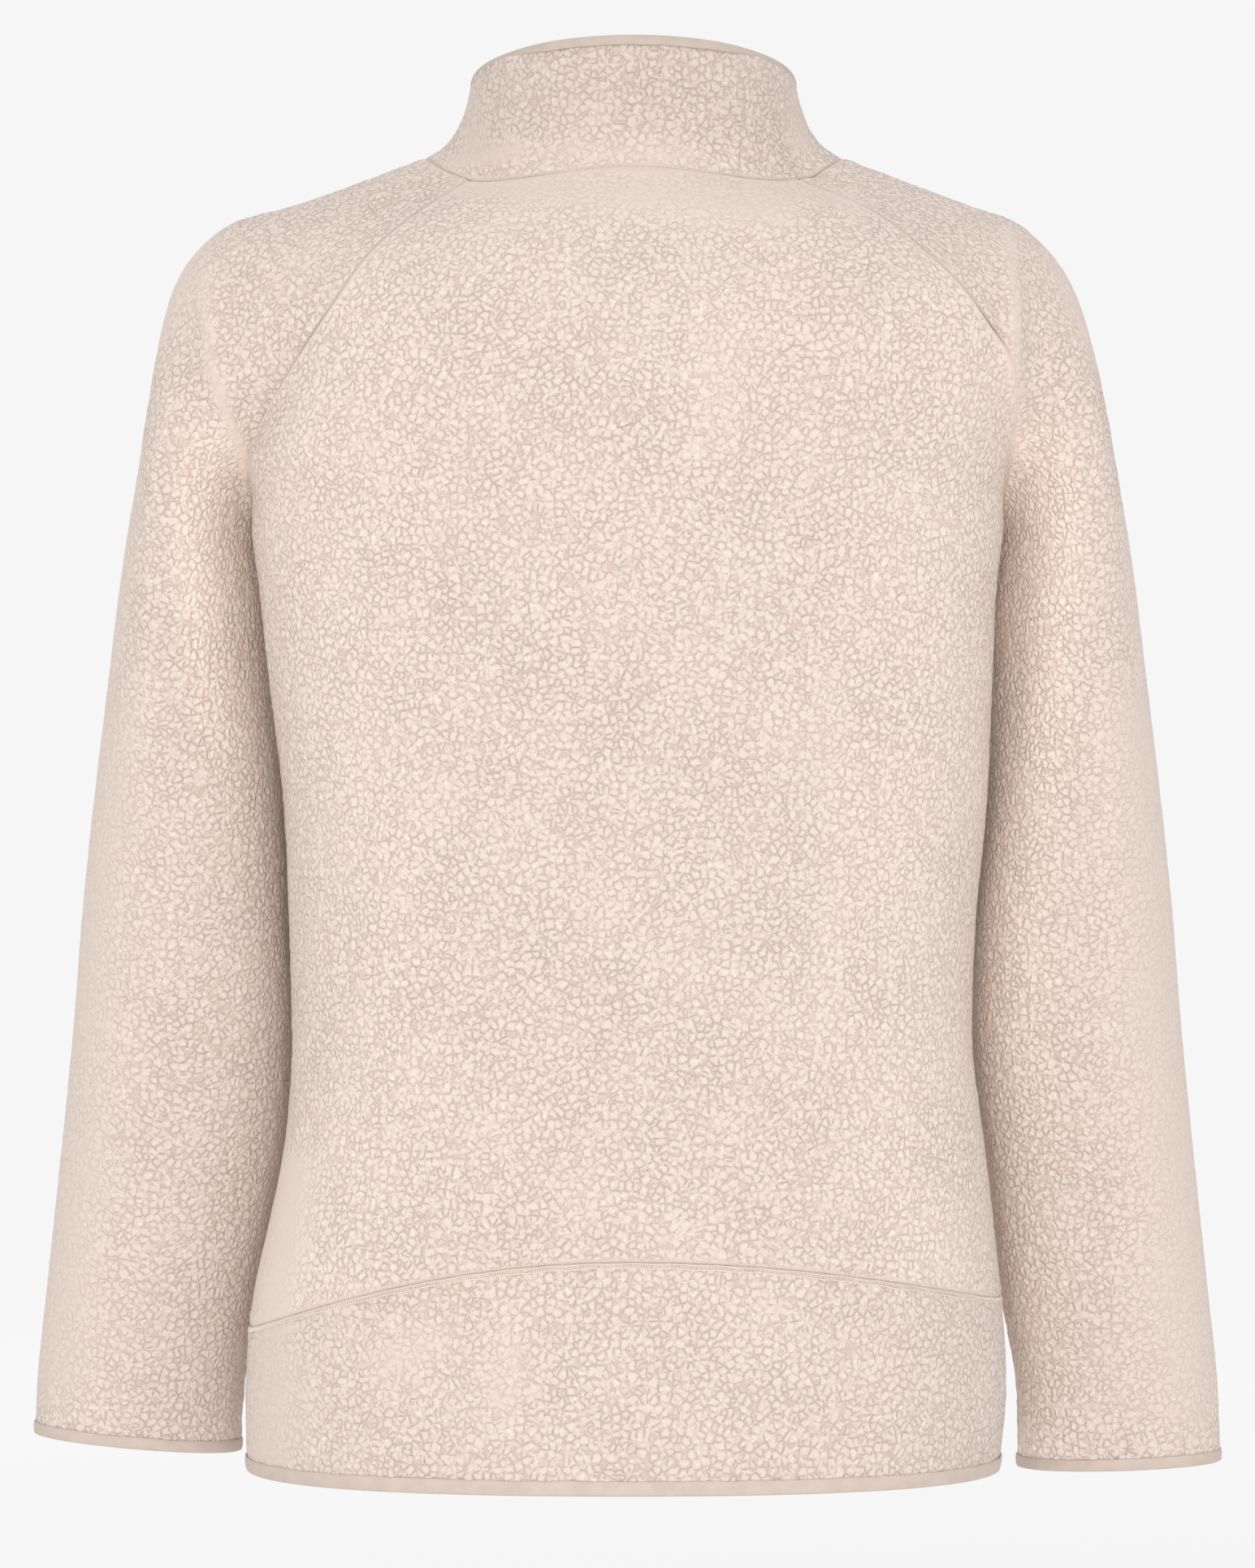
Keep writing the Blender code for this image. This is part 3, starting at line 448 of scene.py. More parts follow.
def arc(start, start_way, end, end_way, swell=(1.0, 1.0)):
    """Points of a curve that leaves and arrives in the given directions, round where swell is 1."""
    chord = np.linalg.norm(end - start)
    bend = math.acos(float(np.clip(np.dot(start_way, end_way), -1.0, 1.0)))
    reach = chord / 3
    if bend > STRAIGHT:
        reach = chord * (2 / 3) * math.tan(bend / 4) / math.sin(bend / 2)
    first = start + start_way * reach * swell[0]
    second = end - end_way * reach * swell[1]
    t = np.linspace(0.0, 1.0, SAMPLES)[:, None]
    before = (1 - t) ** 3 * start + 3 * (1 - t) ** 2 * t * first
    return before + 3 * (1 - t) * t**2 * second + t**3 * end


def unit(values):
    return values / np.linalg.norm(values, axis=-1)[..., None]


def run_of(line):
    """Length along a line at each of its points, or down each column of a grid."""
    steps = np.linalg.norm(np.diff(line, axis=0), axis=-1)
    return np.concatenate((np.zeros_like(steps[:1]), np.cumsum(steps, axis=0)))


def along(line, run, places):
    """A line, or what is kept on its points, at the given lengths."""
    return np.stack([np.interp(places, run, column) for column in line.T], axis=-1)


def rise(value, start, end):
    """Smooth step from 0 at start to 1 at end."""
    t = np.clip((value - start) / (end - start), 0.0, 1.0)
    return t * t * (3 - 2 * t)


def bell(distance, width):
    return np.exp(-((distance / width) ** 2))


def ripple(points, scale, seed):
    """Slow smooth variation from -1 to 1."""
    total = np.zeros(points.shape[:-1])
    for turn in range(3):
        phase = np.roll(DIRECTIONS[seed], turn)
        total += np.sin(points @ phase * scale * (1 + 0.37 * turn) + turn * 2.1 + seed)
    return total / 3


# ---- rows of the garment ----
def mirrored(points, side):
    return points * np.array((side, 1.0, 1.0))


def row_height(level, top, seam):
    """Height of a body row where the body starts at top and has its low seam at seam."""
    if level < LOW_SEAM:
        return top + (level - UNDERARM) / (LOW_SEAM - UNDERARM) * (seam - top)
    return seam + (level - LOW_SEAM) / (HEM - LOW_SEAM) * (HEM_Z - seam)


def centre_point(level, front):
    """Point of a body row on the centre line."""
    if level <= UNDERARM:
        back_y, back_z, front_y, front_z = read(CENTRES, level)
        shift = read(SHIFTS, level)[0]
        return np.array((shift, front_y, front_z) if front else (shift, back_y, back_z))
    z = row_height(level, UNDERARM_CENTRE_Z, LOW_SEAM_CENTRE_Z)
    back_y, front_y = by_height(BODY, z)[2:4]
    return np.array((0.0, front_y if front else back_y, z))


def side_point(z, side):
    """Point of the side seam at one height, as on the left, and the ring's heading there."""
    left, right, _, _, seam_y, tuck, turn = by_height(BODY, z)
    half = left if side > 0 else right
    return np.array((half - tuck, seam_y, z)), -90.0 - turn


def edge(level, front, side):
    """Edge of a body row, as on the left: point, body-side direction, sleeve-side direction."""
    if level > UNDERARM:
        z = row_height(level, UNDERARM_Z, LOW_SEAM_SIDE_Z[side])
        point, heading = side_point(z, side)
        return point, way(heading), None
    table = RAGLAN_FRONT if front else RAGLAN_BACK
    x, y, z, body_heading, sleeve_heading, climb = read(table, level)
    point = np.array((x + side * read(SHIFTS, level)[1], y, z))
    if level > ARMHOLE:
        share = (level - ARMHOLE) / (UNDERARM - ARMHOLE)
        bottom, bottom_heading = side_point(UNDERARM_Z, side)
        point = point + share * (bottom - point)
        body_heading += share * (bottom_heading - body_heading)
        parted = -270 if front else bottom_heading + 180 - CREASE_PARTING
        sleeve_heading += share * (parted - sleeve_heading)
    return point, way(body_heading, climb), way(sleeve_heading, climb)


def crease_shift(level):
    """Body and sleeve part slightly where they fold back on each other."""
    start, end = CREASE_LEVELS
    share = np.clip((level - start) / (end - start), 0.0, 1.0)
    return np.array((CREASE_GAP * share, 0.0, 0.0))


def body_row(level, front, side):
    """Half a ring of the body, from the centre line to its edge."""
    centre = mirrored(centre_point(level, front), side)
    point, body_way, _ = edge(level, front, side)
    point = point - crease_shift(level)
    fullness = read(FULLNESS, level)[1 if front else 0]
    if front:
        line = arc(point, body_way, centre, way(180), (1.0, fullness))[::-1]
    else:
        line = arc(centre, way(0), point, body_way, (fullness, 1.0))
    return mirrored(line, side)


def back_row(level):
    """A row of the back from its left edge to its right edge."""
    return np.concatenate((body_row(level, False, 1)[::-1], body_row(level, False, -1)[1:]))


def sleeve_row(level, side):
    """A ring of the sleeve, from its back edge over the outside to its front edge."""
    if level <= UNDERARM:
        back, _, leave = edge(level, False, side)
        front, _, arrive = edge(level, True, side)
        shift = crease_shift(level)
        back, front = back + shift, front + shift
        x, y, z, back_swell, front_swell = read(OVERARM, level)
        top = np.array((x + side * read(SHIFTS, level)[0], y, z))
    else:
        share = (level - UNDERARM) / (HEM - UNDERARM)
        start_z = UNDERARM_Z + UNDERARM_TILT / 2
        z = start_z + share * (CUFF_Z[side] - start_z)
        tilt = UNDERARM_TILT + share * (CUFF_TILT[side] - UNDERARM_TILT)
        outer, clear, front_y, back_y = by_height(SLEEVE, z)
        seam, heading = side_point(z, side)
        inner = seam[0] + clear + CUFF_SLIM[side] * share**4
        middle = (front_y + back_y) / 2
        back = front = np.array((inner, middle, z - tilt / 2))
        top = np.array((outer, middle, z + tilt / 2))
        back_swell = front_swell = (back_y - front_y) / (outer - inner)
        tucked = min((-90 - heading) / CREASE_PARTING, 1.0)
        leave = way(heading + 180 - CREASE_PARTING * tucked)
        arrive = way(90)
    slope = way(-90)
    behind = arc(back, leave, top, slope, (back_swell, back_swell))
    before = arc(top, slope, front, arrive, (front_swell, front_swell))
    return mirrored(np.concatenate((behind, before[1:])), side)


# ---- grids ----
def spread(start, end, count, near, first=True, last=True):
    """Even places from start to end, with a few close ones at the ends that are seams."""
    low = start + near if first else np.array([start])
    high = end - near[::-1] if last else np.array([end])
    return np.concatenate((low, np.linspace(low[-1], high[0], count)[1:-1], high))


def placed(line, count, trim):
    """Points along a line that is trimmed at both ends."""
    run = run_of(line)
    return along(line, run, spread(trim[0], run[-1] - trim[1], count, EDGE_STEPS))


def smoothed(grid, passes):
    """Softens a grid down its columns and keeps its first and last rows."""
    for _ in range(passes):
        grid[1:-1] = (grid[:-2] + 2 * grid[1:-1] + grid[2:]) / 4
    return grid


def surface_of(row, levels, count, trim, passes=SMOOTHING):
    return smoothed(np.array([placed(row(level), count, trim) for level in levels]), passes)


def eased(grid, levels):
    """Smooths a sleeve along its length where the shoulder ends, but not beside its seams."""
    start, full, going, end = EASED_LEVELS
    here = rise(levels, start, full) * (1 - rise(levels, going, end))
    across = np.linspace(0.0, 1.0, grid.shape[1])
    away = rise(np.minimum(across, 1 - across), *EASED_COLUMNS)
    share = 0.5 * (here[:, None] * away)[1:-1, :, None]
    for _ in range(EASING):
        grid[1:-1] += share * ((grid[:-2] + grid[2:]) / 2 - grid[1:-1])
    return grid


def outward(grid, side):
    """Unit normals of a grid."""
    return unit(np.cross(np.gradient(grid, axis=0), np.gradient(grid, axis=1)) * side)


def edge_distances(grid):
    """How far each point lies from the first and last column, and the first and last row."""
    first, top = run_of(grid.swapaxes(0, 1)).T, run_of(grid)
    return first, first[:, -1:] - first, top, top[-1:] - top


def near_line(grid, out, face, facing, row):
    """How near each point lies to a line on one face, 1 on it, and its share of the way along."""
    x1, z1, x2, z2, width, _ = row
    way_x, way_z = x2 - x1, z2 - z1
    x, z = grid[:, :, 0] - x1, grid[:, :, 2] - z1
    share = (x * way_x + z * way_z) / (way_x**2 + way_z**2)
    held = np.clip(share, 0.0, 1.0)
    near = bell(np.hypot(x - held * way_x, z - held * way_z), width)
    return near * rise(out[:, :, 1] * face, *facing), share


def fold_height(grid, out):
    """Height of all listed folds at each point."""
    height = np.zeros(grid.shape[:2])
    for face, rows in FOLDS.items():
        for row in rows:
            near, share = near_line(grid, out, face, FOLD_FACING, row)
            height += row[-1] * near * rise(share, *FOLD_END) * rise(1 - share, *FOLD_END)
    return height


def calm_share(grid, out):
    """How much the pile is pressed flat at each point by the calm places."""
    calm = np.zeros(grid.shape[:2])
    for row in CALM:
        calm = np.maximum(calm, row[-1] * near_line(grid, out, 1, CALM_FACING, row)[0])
    return calm


# ---- meshes ----
def new_object(name, points, faces, slot, finish=None):
    """A smooth piece that rides with the jacket, in its slot's material or another."""
    mesh = bpy.data.meshes.new(name)
    mesh.from_pydata([tuple(point) for point in points], [], faces)
    mesh.validate()
    mesh.shade_smooth()
    mesh.materials.append(MATERIALS[finish or slot])
    item = bpy.data.objects.new(name, mesh)
    bpy.context.scene.collection.objects.link(item)
    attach(item, "jacket")
    return item


def store(item, label, values, kind="FLOAT", field="value"):
    """Keeps a value on each point of a piece."""
    layer = item.data.attributes.new(label, kind, "POINT")
    layer.data.foreach_set(field, np.ravel(values))


def quads_of(rows, columns, start, flip):
    """Quads of a grid whose points begin at start."""
    place = start + np.arange(rows * columns).reshape(rows, columns)
    return quads_between(place)[:, ::-1 if flip else 1].tolist()


def quads_between(place):
    quads = (place[:-1, :-1], place[:-1, 1:], place[1:, 1:], place[1:, :-1])
    return np.stack(quads, axis=2).reshape(-1, 4)


def coarse(count, step):
    """Every few of a number of places, with the last."""
    places = list(range(0, count - 1, step))
    if count - 1 - places[-1] < step // 2 and len(places) > 1:
        places.pop()
    return places + [count - 1]


def border(rows, columns):
    """Places round the edge of a grid, in order."""
    places = [(0, column) for column in columns]
    places += [(row, columns[-1]) for row in rows[1:]]
    places += [(rows[-1], column) for column in columns[-2::-1]]
    places += [(row, columns[0]) for row in rows[-2:0:-1]]
    return places


def shell_mesh(grid, out, thickness, flip):
    """Points and faces of a closed shell: a fine outer sheet and a coarser inner one."""
    rows, columns = grid.shape[:2]
    some_rows, some_columns = coarse(rows, INNER_STEP), coarse(columns, INNER_STEP)
    inner = (grid - out * thickness)[np.ix_(some_rows, some_columns)]
    first = rows * columns
    faces = quads_of(rows, columns, 0, flip)
    faces += quads_of(len(some_rows), len(some_columns), first, not flip)
    around = border(list(range(rows)), list(range(columns)))
    wanted = set(border(some_rows, some_columns))
    stops = [i for i, place in enumerate(around) if place in wanted]
    for here, there in zip(stops, stops[1:] + [stops[0] + len(around)]):
        run = [around[i % len(around)] for i in range(here, there + 1)]
        face = [row * columns + column for row, column in run]
        for row, column in (run[-1], run[0]):
            row_place = some_rows.index(row) * len(some_columns)
            face.append(first + row_place + some_columns.index(column))
        faces.append(face if flip else face[::-1])
    return np.concatenate((grid.reshape(-1, 3), inner.reshape(-1, 3))), faces, first


def cloth(name, grid, side, thickness, flats, creased=None, painted_light_factor=1.0):
    """A piece of pile cloth: folds, pressed seams, then pile on its outer face.

    flats gives each of the four edges its seam. creased says for each row how far its two ends lie
    in the crease between sleeve and body. Returns the outer face and its normals.
    """
    out = outward(grid, side)
    shift = fold_height(grid, out)
    nap = 1.0 - calm_share(grid, out)
    # factor on the colour: painted light and shade from tint, and darker seams below
    seam_tone_and_painted_light = np.ones(grid.shape[:2]) * painted_light_factor
    wander = 1.0 + PRESSED_WANDER[0] * ripple(grid, PRESSED_WANDER[1], 0)
    fill = np.zeros((len(grid), 1)) if creased is None else creased[:, None]
    least, start, end = NECK_SEAM_MIDDLE
    off_centre = least + (1.0 - least) * rise(np.abs(grid[:, :, 0] - COLLAR_LEAN), start, end)
    lip_height, lip_place, lip_width = SEAM_LIP
    for place, (distance, (dip, pressed)) in enumerate(zip(edge_distances(grid), flats)):
        full = fill if place < 2 else 0.0
        at_neck = (name, place) in (("collar", 3), ("back_panel", 2))
        shows = NECK_SEAM_SHOWS * off_centre if at_neck else 1.0
        shift = shift - dip * shows * (1.0 - CREASE_SOFTNESS * full) * bell(distance, SEAM_WIDTH)
        shift = shift + PLUMP * full * bell(distance, PLUMP_WIDTH)
        if dip:
            shift = shift + lip_height * bell(distance - lip_place, lip_width)
            seam_tone_and_painted_light = seam_tone_and_painted_light * (1.0 - SEAM_TONE * shows * bell(distance, TONE_WIDTH))
        start, end = (limit * pressed * wander for limit in PRESSED_REACH)
        nap = nap * (1.0 - PRESSED * (1.0 - rise(distance, start, end)))
    nap = nap * (1.0 + NAP_WANDER[0] * ripple(grid, NAP_WANDER[1], 1))
    moved = grid + out * shift[:, :, None]
    points, faces, first = shell_mesh(moved, out, thickness, side < 0)
    item = new_object(name + "_pile", points, faces, "fleece")
    inside = np.ones(len(points) - first)
    nap = np.clip(nap, *NAP_LIMITS).ravel()
    store(item, "raised", np.concatenate((nap, inside * 0.0)))
    store(item, "nap", np.concatenate((nap, inside * INNER_NAP)))
    store(item, "seam_tone_and_painted_light", np.concatenate((seam_tone_and_painted_light.ravel(), inside * np.mean(painted_light_factor))))
    raise_pile(item)
    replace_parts(item, name)
    return moved, out


def raise_pile(item):
    """Moves the outer face out by the pile's shape and keeps the place it had before."""
    modifier = item.modifiers.new("pile", "NODES")
    modifier.node_group = PILE_GROUP
    bpy.context.view_layer.update()
    evaluated = item.evaluated_get(bpy.context.evaluated_depsgraph_get())
    raised = bpy.data.meshes.new_from_object(evaluated)
    item.modifiers.clear()
    old = item.data
    item.data = raised
    bpy.data.meshes.remove(old)
    raised.name = item.name


def swept(name, parts, slot, finish=None, closed=False):
    """Tubes through stations: each part is an array of station, corner and XYZ."""
    points, faces = [], []
    for stations in parts:
        place = len(points) + np.arange(stations[..., 0].size).reshape(stations.shape[:2])
        points.extend(stations.reshape(-1, 3))
        around = np.pad(place, ((0, 1 if closed else 0), (0, 1)), "wrap")
        faces += quads_between(around.T).tolist()
        if not closed:
            faces += [place[0].tolist(), place[-1, ::-1].tolist()]
    item = new_object(name, points, faces, slot, finish)
    shape = bmesh.new()
    shape.from_mesh(item.data)
    bmesh.ops.recalc_face_normals(shape, faces=shape.faces)
    shape.to_mesh(item.data)
    shape.free()
    return item


# ---- node trees ----
def feed(tree, node, links):
    """Gives a node's inputs, by name or place, a link or a value; colours come without alpha."""
    for key, value in links.items():
        socket = node.inputs[key]
        if isinstance(value, bpy.types.NodeSocket):
            tree.links.new(value, socket)
        elif socket.type == "RGBA":
            socket.default_value = (*value, 1.0)
        else:
            socket.default_value = value


def add(tree, kind, links=None, **settings):
    """Adds a node; links feeds its inputs, settings sets its properties."""
    node = tree.nodes.new(kind)
    for key, value in settings.items():
        setattr(node, key, value)
    feed(tree, node, links or {})
    return node


def maths(tree, operation, *values):
    return add(tree, "ShaderNodeMath", dict(enumerate(values)), operation=operation).outputs[0]


def scaled(tree, vector, factor):
    links = {0: vector, "Scale": factor}
    return add(tree, "ShaderNodeVectorMath", links, operation="SCALE").outputs[0]


def ramp(tree, value, start, end, low=0.0, high=1.0):
    """Smooth step of a value between two limits."""
    links = {"Value": value, "From Min": start, "From Max": end, "To Min": low, "To Max": high}
    return add(tree, "ShaderNodeMapRange", links, interpolation_type="SMOOTHSTEP").outputs[0]


def noise(tree, place, scale, detail=1.0, roughness=0.5, output="Fac"):
    links = {"Vector": place, "Scale": scale, "Detail": detail, "Roughness": roughness}
    return add(tree, "ShaderNodeTexNoise", links).outputs[output]


def mixed(tree, share, first, second):
    """Colour between two, by a share."""
    links = {0: share, 6: first, 7: second}
    return add(tree, "ShaderNodeMix", links, data_type="RGBA").outputs[2]


def attribute(tree, name, output="Fac"):
    return add(tree, "ShaderNodeAttribute", attribute_name=name).outputs[output]


def with_seam_tone_and_painted_light(tree, colour):
    """A colour times the factor stored on each point: darker at seams, and painted light and shade.
    """
    return scaled(tree, colour, attribute(tree, "seam_tone_and_painted_light"))


def warped(tree, place, scale, reach, detail):
    """A place shifted by noise."""
    drift = noise(tree, place, scale, detail, output="Color")
    links = {0: drift, 1: (0.5, 0.5, 0.5)}
    drift = add(tree, "ShaderNodeVectorMath", links, operation="SUBTRACT").outputs[0]
    links = {0: place, 1: scaled(tree, drift, reach)}
    return add(tree, "ShaderNodeVectorMath", links, operation="ADD").outputs[0]


def pile_shape(tree, place):
    """Flattened curls of pile: their height, and the share of broken groove between them, which the
    material darkens as painted shade.
    """
    bent = place
    for warp in CURL_WARPS:
        bent = warped(tree, bent, *warp)
    links = {"Vector": bent, "Scale": CURLS}
    edges = add(tree, "ShaderNodeTexVoronoi", links, feature="DISTANCE_TO_EDGE").outputs["Distance"]
    keep = ramp(tree, noise(tree, place, 300.0), 0.34, 0.56, 0.56, 1.0)
    slope = maths(tree, "MINIMUM", maths(tree, "DIVIDE", edges, CURL_SLOPE), 1.0)
    slope = maths(tree, "POWER", maths(tree, "SUBTRACT", 1.0, slope), 2.0)
    valley = maths(tree, "MULTIPLY", slope, keep)
    lumps = noise(tree, bent, 520.0, 2.0, 0.6)
    height = maths(tree, "MULTIPLY_ADD", lumps, 0.90, maths(tree, "SUBTRACT", 1.0, valley))
    return height, ramp(tree, valley, 0.20, 0.95)


def pile_group():
    """Geometry nodes that move the outer face out by the pile's shape."""
    tree = bpy.data.node_groups.new("pile", "GeometryNodeTree")
    for direction in ("INPUT", "OUTPUT"):
        tree.interface.new_socket(
            "Geometry", in_out=direction, socket_type="NodeSocketGeometry",
        )
    start = add(tree, "NodeGroupInput").outputs[0]
    place = add(tree, "GeometryNodeInputPosition").outputs[0]
    normal = add(tree, "GeometryNodeInputNormal").outputs[0]
    raised = add(tree, "GeometryNodeInputNamedAttribute", {"Name": "raised"}, data_type="FLOAT")
    links = {"Geometry": start, "Name": "rest", "Value": place}
    kept = add(tree, "GeometryNodeStoreNamedAttribute", links, data_type="FLOAT_VECTOR")
    height = maths(tree, "SUBTRACT", noise(tree, place, 170.0, 2.0), 0.5)
    height = maths(tree, "MULTIPLY", maths(tree, "MULTIPLY", height, raised.outputs[0]), PILE_HEIGHT)
    links = {"Geometry": kept.outputs[0], "Offset": scaled(tree, normal, height)}
    moved = add(tree, "GeometryNodeSetPosition", links)
    add(tree, "NodeGroupOutput", {0: moved.outputs[0]})
    return tree


def new_material(name):
    made = bpy.data.materials.new(name)
    made.use_nodes = True
    return made, made.node_tree, made.node_tree.nodes["Principled BSDF"]


def dress(made, base, relief, strength, depth, sockets):
    """Gives a material its colour, its bump and what is the same all over."""
    tree = made.node_tree
    links = {"Height": relief, "Strength": strength, "Distance": depth}
    bump = add(tree, "ShaderNodeBump", links).outputs[0]
    feed(tree, tree.nodes["Principled BSDF"], {"Base Color": base, "Normal": bump, **sockets})
    return made


def fleece_material():
    """Pebbled pile: curls with painted light on their tops, painted shade in the grooves between
    them, scattered bright specks of painted highlight and calm places.
    """
    made, tree, _ = new_material("pile_fleece")
    place = attribute(tree, "rest", "Vector")
    nap = attribute(tree, "nap")
    height, groove_shade = pile_shape(tree, place)
    patches = ramp(tree, noise(tree, place, 14.0, 2.0), 0.35, 0.65)
    colour = mixed(tree, patches, PILE_COOL, PILE_WARM)
    # painted light: the higher parts of the curls are made lighter
    colour = mixed(tree, ramp(tree, height, 0.5, 1.2, 0.0, 0.5), colour, PILE_TOP_PAINTED_LIGHT)
    # painted shade: the grooves are darkened, less where the pile is pressed flat
    shaded = maths(tree, "MULTIPLY", maths(tree, "MULTIPLY", groove_shade, nap), GROOVE_SHADE_SHARE)
    colour = mixed(tree, shaded, colour, PILE_GROOVE_SHADE)
    # painted highlights: scattered bright specks
    painted_highlights = ramp(tree, noise(tree, place, 700.0), 0.64, 0.72, 0.0, 0.6)
    colour = mixed(tree, painted_highlights, colour, PILE_HIGHLIGHT)
    colour = mixed(tree, ramp(tree, nap, 0.15, 0.95, 0.85, 0.0), colour, PILE_CALM)
    fibres = noise(tree, place, 1500.0, 2.0, 0.6)
    relief = maths(tree, "MULTIPLY_ADD", fibres, 0.10, maths(tree, "MULTIPLY", height, nap))
    return dress(made, with_seam_tone_and_painted_light(tree, colour), relief, 1.0, BUMP_DEPTH, {
        "Roughness": 0.92, "Specular IOR Level": 0.25,
        "Sheen Weight": 0.32, "Sheen Roughness": 0.6, "Sheen Tint": (1.0, 0.93, 0.88),
    })


def tape_material(name, colour, lighter, ribs, with_painted_shade=False):
    """Narrow knit or woven tape: fine ribs across it and a slight mottle. Reads run, in metres."""
    made, tree, _ = new_material(name)
    run = attribute(tree, "run", "Vector")
    split = add(tree, "ShaderNodeSeparateXYZ", {0: run})
    rate = 2 * math.pi * ribs
    lengthways, across = (
        maths(tree, "SINE", maths(tree, "MULTIPLY", split.outputs[place], rate * share))
        for place, share in ((0, 1.0), (1, 0.8))
    )
    knit = maths(tree, "MULTIPLY_ADD", maths(tree, "MULTIPLY", lengthways, across), 0.5, 0.5)
    mottle = noise(tree, run, 120.0, 3.0)
    base = mixed(tree, ramp(tree, mottle, 0.3, 0.7), colour, lighter)
    dark = tuple(part * 0.86 for part in colour)
    base = mixed(tree, maths(tree, "MULTIPLY", knit, 0.25), base, dark)
    relief = maths(tree, "MULTIPLY_ADD", mottle, 0.8, knit)
    # bindings may take the painted shade stored on their points
    return dress(made, with_seam_tone_and_painted_light(tree, base) if with_painted_shade else base, relief, 0.6, KNIT_DEPTH, {
        "Roughness": 0.86, "Specular IOR Level": 0.25, "Sheen Weight": 0.15,
    })


def hard_material(name, colour, roughness, metallic, scale):
    """Coated metal or moulded plastic with faint wear."""
    made, tree, _ = new_material(name)
    place = add(tree, "ShaderNodeTexCoord").outputs["Object"]
    wear = noise(tree, place, scale, 4.0, 0.65)
    darker = tuple(part * 0.82 for part in colour)
    base = mixed(tree, ramp(tree, wear, 0.35, 0.7), colour, darker)
    rough = ramp(tree, wear, 0.3, 0.7, roughness - 0.06, roughness + 0.08)
    return dress(made, base, wear, 0.25, WEAR_DEPTH, {"Roughness": rough, "Metallic": metallic})


def thread_material():
    made, tree, _ = new_material("thread")
    place = add(tree, "ShaderNodeTexCoord").outputs["Object"]
    twist = noise(tree, place, 2200.0, 2.0)
    base = mixed(tree, twist, THREAD_DARK, THREAD_LIGHT)
    return dress(made, base, twist, 0.5, TWIST_DEPTH, {"Roughness": 0.6, "Sheen Weight": 0.3})


# ---- bindings ----
def tape_section(wall, height):
    """Rounded U of a folded tape: offsets along the normal and off the edge."""
    front = TAPE_GAP + TAPE_WALL
    behind = -wall - TAPE_GAP
    back = behind - TAPE_WALL
    bend, middle = (front - back) / 2, (front + back) / 2
    points = [(TAPE_GAP, -height + 0.0004), (TAPE_GAP + TAPE_WALL * 0.5, -height)]
    points += [(front, -height + 0.0005), (front + 0.0002, -height * 0.5), (front, -0.0002)]
    for step in range(1, 8):
        turn = math.pi * step / 8
        points.append((middle + bend * math.cos(turn), front * math.sin(turn)))
    points += [(back, -0.0002), (back - 0.0002, -height * 0.5), (back, -height)]
    points += [(behind, -height), (behind, TAPE_GAP * 0.5), (TAPE_GAP, TAPE_GAP * 0.5)]
    return np.array(points)


def binding(name, rim, wall, height, closed, share=1.0, painted_light_factor=1.0):
    """Tape folded over an edge, with a slightly uneven inner border; share narrows it in places."""
    line, out, past = rim
    section = tape_section(wall, height)
    wave = 1.0 + sum(size * ripple(line, rate, seed) for size, rate, seed in TAPE_WAVES)
    inner = section[:, 1] < -0.001
    off = np.where(inner, section[:, 1] * (wave * share)[:, None], section[:, 1])
    stations = line[:, None] + unit(out)[:, None] * section[:, :1] + past[:, None] * off[..., None]
    item = swept(name + "_tape", [stations], "binding", closed=closed)
    runs = np.stack(np.broadcast_arrays(run_of(line)[:, None], run_of(section), 0.0), axis=2)
    store(item, "run", runs, "FLOAT_VECTOR", "vector")
    # the collar's painted shade, or 1 where there is none
    store(item, "seam_tone_and_painted_light", np.full(len(item.data.vertices), painted_light_factor))
    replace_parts(item, name)


def rim_of(piece, row, beside):
    """An edge row of a piece: its points, their normals and their directions off the edge."""
    moved, out = piece
    return moved[row], out[row], unit(moved[row] - moved[beside])


def merge_ends(parts):
    """Joins rows end to end, with one middle value where two rows meet."""
    joined = parts[0]
    for part in parts[1:]:
        middle = (joined[-1] + part[0]) / 2
        joined = np.concatenate((joined[:-1], [middle], part[1:]))
    return joined


def thinned(rim):
    """Every few points of an edge row, with the last."""
    return [values[coarse(len(values), TAPE_STEP)] for values in rim]


# ---- the garment ----
def garment_levels():
    """Levels of the rows of the yoke, the armhole crease, the body, the low panel and the arm."""
    yoke = spread(0.0, ARMHOLE, YOKE_ROWS, EDGE_STEPS * YOKE_RATE, last=False)
    crease = np.linspace(ARMHOLE, UNDERARM, CREASE_ROWS + 1)[1:]
    body = spread(UNDERARM, LOW_SEAM, BODY_ROWS, EDGE_STEPS * BODY_RATE, first=False)[1:]
    low = spread(LOW_SEAM, HEM, LOW_ROWS, EDGE_STEPS * LOW_RATE, last=False)
    arm = np.linspace(UNDERARM, HEM, SLEEVE_ROWS + 1)[1:]
    return yoke, crease, body, low, arm


def side_painted_light(grid):
    """Painted light: the back is made lighter towards its sides, standing in for the light they
    gather from the sleeves.
    """
    return 1.0 + SIDE_PAINTED_LIGHT * rise(np.abs(outward(grid, 1)[:, :, 0]), *SIDE_FACING)


def sleeve_painted_light(grid, side):
    """Painted light on a sleeve: its inner face, between pile and pile, is made lighter, standing in
    for the light it gathers from both.
    """
    inner = rise(-side * outward(grid, -side)[:, :, 0], *INNER_FACING)
    below = SLEEVE_PAINTED_LIGHT[side]
    return 1.0 + inner * (below + (ARMPIT_PAINTED_LIGHT - below) * rise(grid[:, :, 2], *ARMPIT_Z))


def crease_share(levels):
    """How far rows lie in the crease between sleeve and body."""
    return rise(levels, *CREASE_FILL) * (levels <= UNDERARM)


